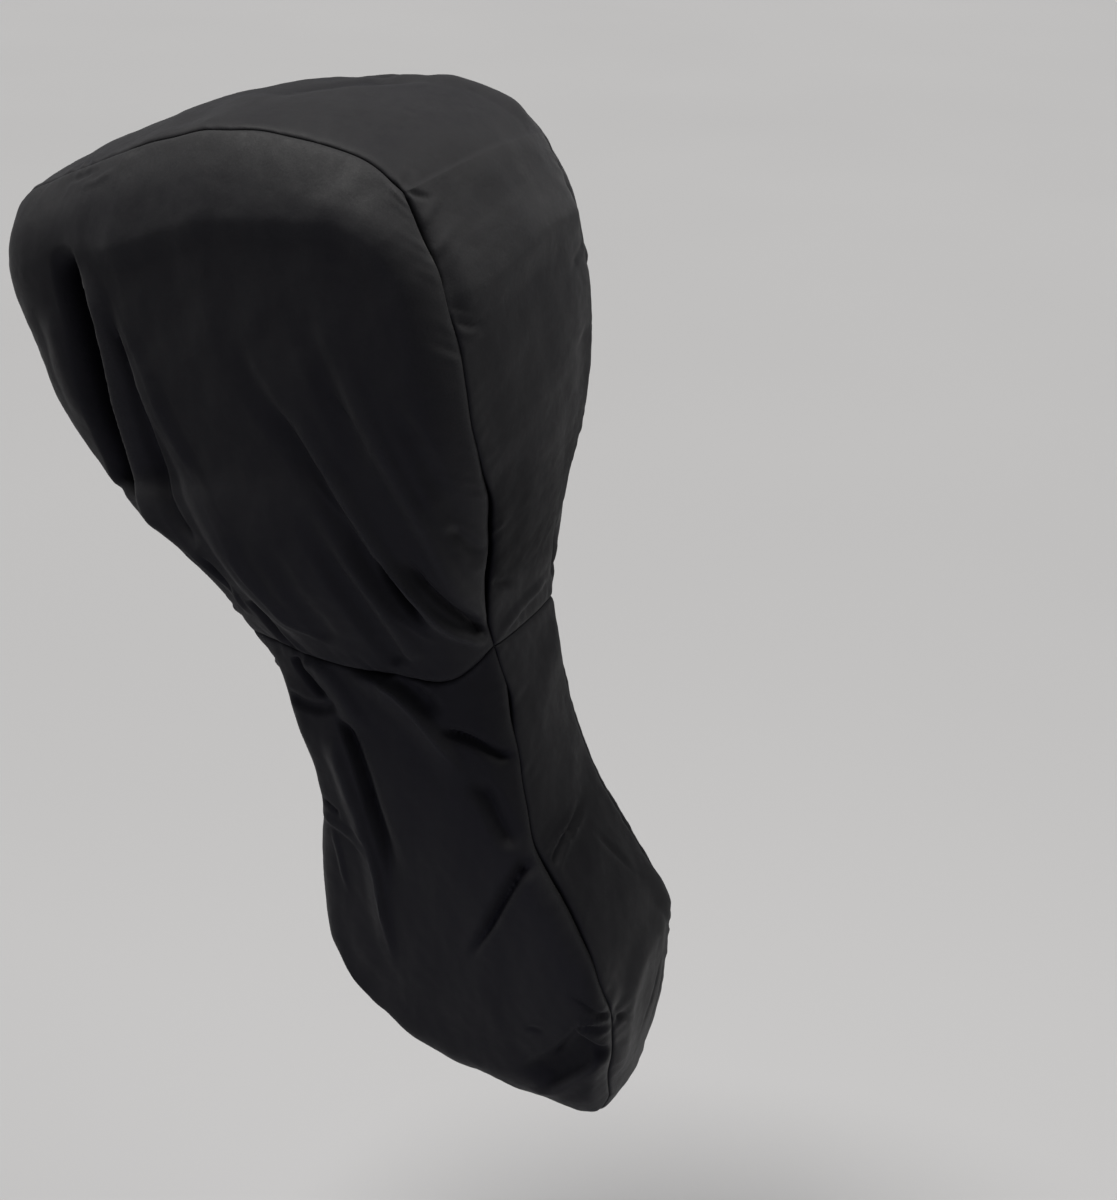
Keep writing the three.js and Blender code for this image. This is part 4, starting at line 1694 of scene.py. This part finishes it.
class Nodes:
    """A short way to lay out the nodes of one material."""

    # The sockets of a node that mixes colours, which share their names with those for numbers
    MIX_SHARE, MIX_FIRST, MIX_SECOND, MIX_RESULT = 0, 6, 7, 2

    def __init__(self, name: str) -> None:
        """Starts an empty material.

        Args:
            name: the material's name.
        """
        self.material = bpy.data.materials.new(name)
        self.material.use_nodes = True
        self.tree = self.material.node_tree
        self.shader = self.tree.nodes["Principled BSDF"]

    def add(self, kind: str, inputs: dict[str, object] | None = None, **settings: object) -> bpy.types.Node:
        """Adds a node.

        Args:
            kind: the node's type name.
            inputs: values or sockets for its inputs, by name or number.
            settings: its own properties.

        Returns:
            The node.
        """
        node = self.tree.nodes.new(kind)
        for key, value in settings.items():
            setattr(node, key, value)
        for key, value in (inputs or {}).items():
            self.feed(node.inputs[key], value)
        return node

    def feed(self, socket: Socket, value: object) -> None:
        """Links a socket to an input, or sets the input's own value.

        Args:
            socket: the input.
            value: the socket to link, or the value.
        """
        if isinstance(value, Socket):
            self.tree.links.new(value, socket)
        else:
            socket.default_value = value

    def math(self, operation: str, *values: object) -> Socket:
        """One operation on up to three numbers or sockets."""
        node = self.add("ShaderNodeMath", dict(enumerate(values)), operation=operation)
        return node.outputs[0]

    def noise(self, vector: object, noise: Noise) -> Socket:
        """Smooth noise between 0 and 1 over a vector."""
        inputs = {"Vector": vector, "Scale": noise.scale, "Detail": noise.detail, "Roughness": noise.rough}
        return self.add("ShaderNodeTexNoise", inputs).outputs[0]

    def span(self, value: object, source: Pair, result: Pair) -> Socket:
        """A number carried from one range to another and held inside it."""
        inputs = {"Value": value, **dict(enumerate((*source, *result), 1))}
        return self.add("ShaderNodeMapRange", inputs, clamp=True).outputs[0]

    def mixed(self, share: object, first: object, second: object) -> Socket:
        """Two colours mixed.

        Args:
            share: how much there is of the second one.
            first: the first colour.
            second: the second colour.

        Returns:
            The mixed colour's socket.
        """
        inputs = {self.MIX_SHARE: share, self.MIX_FIRST: first, self.MIX_SECOND: second}
        node = self.add("ShaderNodeMix", data_type="RGBA")
        for place, value in inputs.items():
            self.feed(node.inputs[place], value)
        return node.outputs[self.MIX_RESULT]

    def bump(self, height: object, relief: Relief, below: object = None) -> Socket:
        """A bump, on top of another one if it is given.

        Args:
            height: the height's socket.
            relief: how the height becomes a bump.
            below: the other bump's socket.

        Returns:
            The normal's socket.
        """
        inputs = {"Height": height, "Distance": relief.distance, "Strength": relief.strength}
        if below is not None:
            inputs["Normal"] = below
        return self.add("ShaderNodeBump", inputs).outputs[0]

    def finished(self, inputs: dict[str, object]) -> bpy.types.Material:
        """Fills in the shader.

        Args:
            inputs: values or sockets for its inputs, by name.

        Returns:
            The finished material.
        """
        for name, value in inputs.items():
            self.feed(self.shader.inputs[name], value)
        return self.material


@dataclass(frozen=True)
class Polyester:
    """The woven polyester of the panels.

    Attributes:
        dark: the darker tone of the dye, which the weave's hollows also take as painted shade.
        light: the paler tone of the dye, which the thread crowns also take as a painted highlight.
        worn: colour where it is rubbed, and where painted light makes it paler.
        fresh: colour of painted shade, in deep folds and furrows and where the cloth looks down.
        thread: pitch of the plain weave, in metres.
        squareness: power of the sine that is squared off, where less is squarer.
        cloud: broad unevenness of the dye.
        mottle: fine unevenness of the dye.
        speck: how unevenly the cloth is rubbed.
        dents: the noise of the shallow dents.
        crinkle: the noise of the fine crinkle.
        dent_relief: the height of the dents.
        crinkle_relief: the height of the crinkle.
        weave_relief: the height of the weave.
        tones: how far the cloud, the mottle and the weave go from the dark colour to the light one. The
            weave's part is painted shade in its hollows and a painted highlight on its crowns.
        full_tone: sum of those at which the light colour is reached.
        rub: how far rubbing and painted light go to the pale colour.
        rub_specks: least and most share of that, as the specks leave it.
        speck_range: levels of the specks between which that share changes.
        unfading: how far painted shade goes to its colour.
        roughness: least and most roughness.
        rough_range: sums of the cloud and the mottle between which it changes.
        specular: specular level of cloth in painted shade and of other cloth.
        sheen: sheen of cloth in painted shade and of other cloth.
        sheen_roughness: roughness of the sheen.
    """

    dark: Colour = (0.0054, 0.0052, 0.0066, 1)
    light: Colour = (0.0104, 0.0103, 0.0113, 1)
    worn: Colour = (0.024, 0.024, 0.025, 1)
    fresh: Colour = (0.0012, 0.0012, 0.0018, 1)
    thread: float = 0.00062
    squareness: float = 0.45
    cloud: Noise = Noise(5.5, 3, 0.55)
    mottle: Noise = Noise(70, 3, 0.6)
    speck: Noise = Noise(420, 2, 0.6)
    dents: Noise = Noise(14, 2, 0.4)
    crinkle: Noise = Noise(75, 4, 0.62)
    dent_relief: Relief = Relief(0.003, 0.25)
    crinkle_relief: Relief = Relief(0.0014, 0.4)
    weave_relief: Relief = Relief(0.00009, 0.5)
    tones: Vec = (0.5, 0.4, 0.3)
    full_tone: float = 1.1
    rub: float = 0.7
    rub_specks: Pair = (0.3, 0.95)
    speck_range: Pair = (0.35, 0.75)
    unfading: float = 0.95
    roughness: Pair = (0.56, 0.74)
    rough_range: Pair = (0.7, 1.3)
    specular: Pair = (0.01, 0.09)
    sheen: Pair = (0, 0.03)
    sheen_roughness: float = 0.45

    # The attribute runs from -1 in painted shade over 0 to 1 on rubbed cloth and cloth painted paler. These
    # are its two halves.
    UNFADED = (-1, 0)
    RUBBED = (0, 1)

    def weave(self, nodes: Nodes) -> Socket:
        """The height of a plain weave over the cloth's own UV map.

        Each crossing is a crown: the sines of both threads, with the one on top squared off. Which one
        is on top changes from crossing to crossing, as the sign of the two sines' product does.

        Args:
            nodes: the material's nodes.

        Returns:
            The height's socket, from 0 to 1.
        """
        cloth = nodes.add("ShaderNodeUVMap", uv_map="cloth")
        split = nodes.add("ShaderNodeSeparateXYZ", {"Vector": cloth.outputs[0]})
        waves = [
            nodes.math("SINE", nodes.math("MULTIPLY", split.outputs[axis], math.pi / self.thread))
            for axis in (0, 1)
        ]
        over = nodes.math("GREATER_THAN", nodes.math("MULTIPLY", *waves), 0)
        crowns = [nodes.math("ABSOLUTE", wave) for wave in waves]
        flat = [nodes.math("POWER", crown, self.squareness) for crown in crowns]
        lengthwise = nodes.math("MULTIPLY", crowns[0], flat[1])
        crosswise = nodes.math("MULTIPLY", flat[0], crowns[1])
        first = nodes.math("MULTIPLY", lengthwise, over)
        second = nodes.math("MULTIPLY", crosswise, nodes.math("SUBTRACT", 1, over))
        return nodes.math("ADD", first, second)

    def material(self) -> bpy.types.Material:
        """The finished cloth: weave, fine crinkle, uneven dye, rubbed ridges, painted light and shade, and
        a faint sheen.

        Returns:
            The material.
        """
        nodes = Nodes("woven_polyester")
        place = nodes.add("ShaderNodeTexCoord").outputs["Object"]
        weave = self.weave(nodes)
        cloud, mottle = nodes.noise(place, self.cloud), nodes.noise(place, self.mottle)
        wear = nodes.add("ShaderNodeAttribute", attribute_name="wear").outputs["Fac"]
        clouds = nodes.span(cloud, Noise.RANGE, (0, self.tones[0]))
        mottles = nodes.span(mottle, Noise.RANGE, (0, self.tones[1]))
        # Painted shade and highlight of the weave: its hollows are darker and its crowns paler.
        threads = nodes.math("MULTIPLY", weave, self.tones[2])
        tone = nodes.math("ADD", nodes.math("ADD", clouds, mottles), threads)
        cloth = nodes.mixed(nodes.span(tone, (0, self.full_tone), (0, 1)), self.dark, self.light)
        specks = nodes.span(nodes.noise(place, self.speck), self.speck_range, self.rub_specks)
        # Rubbed ridges and seams, and painted light on shoulders and back, go to the pale colour.
        rubbed = nodes.math("MULTIPLY", nodes.span(wear, self.RUBBED, (0, self.rub)), specks)
        cloth = nodes.mixed(rubbed, cloth, self.worn)
        # Painted shade in deep folds and furrows, and where the cloth looks down, goes to the shade colour.
        cloth = nodes.mixed(nodes.span(wear, self.UNFADED, (self.unfading, 0)), cloth, self.fresh)
        unevenness = nodes.math("ADD", cloud, mottle)
        bump = nodes.bump(nodes.noise(place, self.dents), self.dent_relief)
        bump = nodes.bump(nodes.noise(place, self.crinkle), self.crinkle_relief, bump)
        return nodes.finished({
            "Base Color": cloth,
            "Roughness": nodes.span(unevenness, self.rough_range, self.roughness),
            "Normal": nodes.bump(weave, self.weave_relief, bump),
            # Painted shade also lowers the specular level and the sheen there.
            "Specular IOR Level": nodes.span(wear, self.UNFADED, self.specular),
            "Sheen Weight": nodes.span(wear, self.UNFADED, self.sheen),
            "Sheen Roughness": self.sheen_roughness,
        })


@dataclass(frozen=True)
class Thread:
    """The sewing thread of the hems.

    Attributes:
        colour: the thread's colour.
        shade: the colour between its fibres, as a share of that.
        fibres: the noise of its twist, which repeats every 0.9 mm.
        roughness: least and most roughness.
        relief: the height of the fibres.
        sheen: its sheen.
    """

    colour: Colour = (0.022, 0.022, 0.024, 1)
    shade: float = 0.6
    fibres: Noise = Noise(1 / 0.0009, 2, 0.6)
    roughness: Pair = (0.42, 0.6)
    relief: Relief = Relief(0.0002, 0.5)
    sheen: float = 0.1

    def material(self) -> bpy.types.Material:
        """A tight twisted thread, a little glossier than the cloth.

        Returns:
            The material.
        """
        nodes = Nodes("sewing_thread")
        place = nodes.add("ShaderNodeTexCoord").outputs["Object"]
        fibre = nodes.noise(place, self.fibres)
        dark = tuple(self.shade * value for value in self.colour[:3]) + (1,)
        return nodes.finished({
            "Base Color": nodes.mixed(fibre, dark, self.colour),
            "Roughness": nodes.span(fibre, Noise.RANGE, self.roughness),
            "Normal": nodes.bump(fibre, self.relief),
            "Sheen Weight": self.sheen,
        })


@dataclass
class HemStitches:
    """The row of lockstitches along every free hem, as one joined mesh.

    Attributes:
        pitch: distance from one stitch to the next.
        length: length of the thread that shows in one stitch.
        radius: the thread's radius.
        lift: how far the middle of a stitch stands off the cloth, less its arch.
        arch: how much higher that middle is, in radii.
        dip: how far its ends lie below it, in radii.
        thinning: share of its thickness, squared, that is gone at its ends.
        thinnest: least share of its thickness, squared.
        sides: faces round the thread.
        rings: sections along a stitch.
    """

    pitch: float = 4.0
    length: float = 3.1
    radius: float = 0.42
    lift: float = 0.2
    arch: float = 0.6
    dip: float = 1.5
    thinning: float = 0.92
    thinnest: float = 0.05
    sides: int = 6
    rings: int = 5

    def spaced(self, track: Array, up: Array) -> tuple[Array, Array, Array]:
        """Places the stitches along one line.

        Args:
            track: points of the line.
            up: normals of the cloth at those points.

        Returns:
            Their middles, their directions and the normals there.
        """
        along = lengths_along(track)
        count = int((along[-1] - 2 * self.pitch) / self.pitch)
        stops = self.pitch * (np.arange(count) + 1)
        middles = np.stack([np.interp(stops, along, track[:, axis]) for axis in range(3)], axis=-1)
        normals = unit(np.stack([np.interp(stops, along, up[:, axis]) for axis in range(3)], axis=-1))
        ahead = np.stack([np.interp(stops + 1, along, track[:, axis]) for axis in range(3)], axis=-1)
        return middles, unit(ahead - middles), normals

    def build(self, lines: list[tuple[Array, Array]]) -> bpy.types.Object:
        """All stitches: a round section carried along a low arch that dips into the cloth at both ends.

        Args:
            lines: points and normals of each line of stitches.

        Returns:
            One closed capsule for each stitch, joined in one object.
        """
        parts = [self.spaced(track, up) for track, up in lines]
        middles, ahead, normals = (np.concatenate([part[k] for part in parts]) for k in range(3))
        across = unit(np.cross(normals, ahead))
        share = np.linspace(-1, 1, self.rings)
        girth = self.radius * np.sqrt(np.maximum(1 - self.thinning * share**4, self.thinnest))
        arch = self.lift + self.radius * (self.arch - self.dip * share**4)
        angle = 2 * np.pi * np.arange(self.sides) / self.sides
        ring_across = girth[:, None] * np.cos(angle)
        ring_up = arch[:, None] + girth[:, None] * np.sin(angle)
        ring_ahead = np.repeat(self.length / 2 * share[:, None], self.sides, axis=1)
        template = np.stack([ring_ahead, ring_across, ring_up], axis=-1).reshape(-1, 3)
        axes = np.stack([ahead, across, normals], axis=1)
        points = middles[:, None] + np.einsum("pk,nkc->npc", template, axes)
        faces = self.faces()
        size = self.rings * self.sides
        starts = size * np.arange(len(middles))
        quads = (faces[None] + starts[:, None, None]).reshape(-1, 4)
        ring = np.arange(self.sides)
        caps = np.concatenate([starts[:, None] + ring[::-1], starts[:, None] + size - self.sides + ring])
        polygons = quads.tolist() + caps.tolist()
        mesh = bpy.data.meshes.new("hem_stitches")
        mesh.from_pydata((points.reshape(-1, 3) * MM).tolist(), [], polygons)
        mesh.polygons.foreach_set("use_smooth", np.ones(len(polygons), bool))
        mesh.update()
        piece = bpy.data.objects.new("hem_stitches", mesh)
        bpy.context.scene.collection.objects.link(piece)
        return piece

    def faces(self) -> Array:
        """The side faces of one stitch.

        Returns:
            Array (face, corner) of point numbers.
        """
        ring = np.arange(self.sides)
        after = (ring + 1) % self.sides
        base = self.sides * np.arange(self.rings - 1)[:, None]
        return np.stack([base + ring, base + after, base + self.sides + after, base + self.sides + ring],
                        axis=-1).reshape(-1, 4)


@dataclass
class Cover:
    """The whole cover: six panels and the stitches of their hems.

    Attributes:
        panels: the panels, in the order in which they are sewn.
    """

    panels: list[Panel] = field(default_factory=list)

    def __post_init__(self) -> None:
        """Lists the panels."""
        end = len(BAND_SEAM.points) - 1
        # The upper band carries painted light on the upper back and painted shade where it looks down.
        self.panels.append(Band("gusset_upper", seed=11, first=0, last=BAND_SEAM.waist, unfaded=0.8))
        self.panels.append(Band("gusset_lower", seed=12, first=BAND_SEAM.waist, last=end))
        for side, seed in ((Side.PORT, 21), (Side.STARBOARD, 31)):
            self.panels.append(CowlSide(f"side_upper_{side.word}", seed, side=side))
            self.panels.append(LegSide(f"side_lower_{side.word}", seed + 1, side=side))

    def build(self) -> None:
        """Builds and dresses every piece."""
        cloth, thread = Polyester().material(), Thread().material()
        tracks = []
        for panel in self.panels:
            tailored = panel.tailored()
            piece = shell_mesh(f"cloth_{panel.name}", tailored, panel.mirrored)
            piece.data.materials.append(cloth)
            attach(piece, BODY)
            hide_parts(panel.name)
            self.declare(piece, tailored)
            tracks.extend(tailored.stitches)
        stitches = HemStitches().build(tracks)
        stitches.data.materials.append(thread)
        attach(stitches, BODY)
        LOG.info("%s: %d faces", stitches.name, len(stitches.data.polygons))

    @staticmethod
    def declare(piece: bpy.types.Object, cloth: Tailored) -> None:
        """Declares a panel as a sheet, with the size and area that it was cut to.

        Args:
            piece: the panel's object; not used.
            cloth: its points and cells.
        """
        points, rows = cloth.points * MM, HEMMING.rows
        length = float(lengths_along(points.swapaxes(0, 1))[rows:-rows, -1].max())


@dataclass(frozen=True)
class Lamp:
    """One light that shines at the middle of the cover: a sun, or a square area light.

    Attributes:
        name: the light's name.
        towards: vector from the middle of the cover to the light.
        power: strength of a sun, or watts.
        colour: its colour.
        size: edge length of an area light, or 0 for a sun.
        angle: how wide a sun looks, in degrees.
    """

    name: str
    towards: Vec
    power: float
    colour: Vec
    size: float = 0
    angle: float = 0

    def place(self, middle: Vec) -> None:
        """Adds the light at its place. No camera sees an area light.

        Args:
            middle: the middle of the cover.
        """
        data = bpy.data.lights.new(self.name, "AREA" if self.size else "SUN")
        data.energy = self.power
        data.color = self.colour
        lamp = bpy.data.objects.new(self.name, data)
        bpy.context.scene.collection.objects.link(lamp)
        lamp.location = Vector(self.towards) + Vector(middle)
        lamp.rotation_euler = Vector(self.towards).to_track_quat("Z", "Y").to_euler()
        if self.size:
            data.size = self.size
            lamp.visible_camera = False
        else:
            data.angle = math.radians(self.angle)


LAMPS = (
    Lamp("key", (-0.28, -0.09, 0.95), 6.7, (1.0, 0.985, 0.95), angle=26),
    Lamp("rear", (1.0, 0.45, 1.8), 25, (1.0, 0.985, 0.95), size=0.8),
    Lamp("side", (0.3, -1.6, -0.7), 3.2, (0.88, 0.84, 1.5), size=1.2),
    Lamp("rear_low", (0.95, 0.3, -1.1), 2.5, (1.0, 0.99, 0.97), size=0.5),
)


@dataclass
class Studio:
    """A plain pale floor, soft light and the camera at the photograph's angle.

    Attributes:
        floor_z: height of the floor.
        floor_size: its edge length.
        floor_tones: its two colours.
        floor_noise: how they change over it.
        target: point of the cover that the aim pixel looks at.
        middle: point that every light shines at.
        aim: that pixel of the photograph.
        azimuth: the camera's turn from the port side towards the rear, in degrees.
        elevation: how far it looks down, in degrees.
        distance: from the camera to the target.
        focal: focal length in pixels of the photograph.
        photo: width and height of the photograph.
        sensor: the camera's sensor width.
        sky: brightness of the surroundings at the horizon and overhead.
        sky_height: upward part of the direction from which it is that of overhead.
        sky_colour: their colour.
    """

    floor_z: float = -2.2
    floor_size: float = 80.0
    floor_tones: tuple[Colour, Colour] = ((0.235, 0.235, 0.24, 1), (0.25, 0.25, 0.255, 1))
    floor_noise: Noise = Noise(0.4)
    target: Vec = (-0.06, 0.0, -0.78)
    middle: Vec = (0.0, 0.0, -0.8)
    aim: Pair = (340, 600)
    azimuth: float = 24
    elevation: float = 24
    distance: float = 3.15
    focal: float = 2050
    photo: tuple[int, int] = (1117, 1200)
    sensor: float = 36
    sky: Pair = (0.42, 0.1)
    sky_height: float = 0.5
    sky_colour: Colour = (0.93, 0.95, 1.03, 1)

    def camera(self) -> None:
        """Places the camera so that the aim pixel looks at the target."""
        turn, tilt = math.radians(self.azimuth), math.radians(self.elevation)
        right = Vector((math.cos(turn), math.sin(turn), 0))
        ahead = Vector((-math.sin(turn) * math.cos(tilt), math.cos(turn) * math.cos(tilt), -math.sin(tilt)))
        up = right.cross(ahead)
        aside = (self.aim[0] - self.photo[0] / 2) / self.focal
        below = (self.aim[1] - self.photo[1] / 2) / self.focal
        ray = (ahead + right * aside - up * below).normalized()
        data = bpy.data.cameras.new("camera")
        data.sensor_fit = "HORIZONTAL"
        data.sensor_width = self.sensor
        data.lens = self.sensor * self.focal / self.photo[0]
        camera = bpy.data.objects.new("camera", data)
        bpy.context.scene.collection.objects.link(camera)
        place = Matrix((right, up, -ahead)).transposed().to_4x4()
        place.translation = Vector(self.target) - ray * self.distance
        camera.matrix_world = place
        bpy.context.scene.camera = camera

    def floor(self) -> None:
        """A wide pale floor with a faint unevenness of tone."""
        half = self.floor_size / 2
        mesh = bpy.data.meshes.new("floor")
        corners = [(-half, -half), (half, -half), (half, half), (-half, half)]
        mesh.from_pydata([(x, y, self.floor_z) for x, y in corners], [], [(0, 1, 2, 3)])
        nodes = Nodes("pale_floor")
        place = nodes.add("ShaderNodeTexCoord").outputs["Object"]
        tone = nodes.mixed(nodes.noise(place, self.floor_noise), *self.floor_tones)
        pale = nodes.finished({"Base Color": tone, "Roughness": 0.95, "Specular IOR Level": 0.1})
        mesh.materials.append(pale)
        floor = bpy.data.objects.new("floor", mesh)
        bpy.context.scene.collection.objects.link(floor)

    def build(self) -> None:
        """Sets up the camera, the floor, the lights and the even light from all round."""
        self.camera()
        self.floor()
        for lamp in LAMPS:
            lamp.place(self.middle)
        self.surroundings()
        bpy.context.scene.view_settings.view_transform = "Standard"

    def surroundings(self) -> None:
        """An even light from all round, which is paler near the horizon."""
        world = bpy.data.worlds.new("studio")
        bpy.context.scene.world = world
        world.use_nodes = True
        tree = world.node_tree
        place = tree.nodes.new("ShaderNodeTexCoord")
        split = tree.nodes.new("ShaderNodeSeparateXYZ")
        ramp = tree.nodes.new("ShaderNodeMapRange")
        ramp.interpolation_type = "SMOOTHSTEP"
        for socket, value in zip(list(ramp.inputs)[1:5], (0.0, self.sky_height, *self.sky)):
            socket.default_value = value
        tree.links.new(place.outputs["Generated"], split.inputs[0])
        tree.links.new(split.outputs[2], ramp.inputs[0])
        background = tree.nodes["Background"]
        background.inputs[0].default_value = self.sky_colour
        tree.links.new(ramp.outputs[0], background.inputs[1])


def main() -> None:
    """Builds the studio and the cover."""
    logging.basicConfig(level=logging.INFO, format="%(name)s: %(message)s")
    Studio().build()
    Cover().build()


if __name__ == "__main__":
    main()
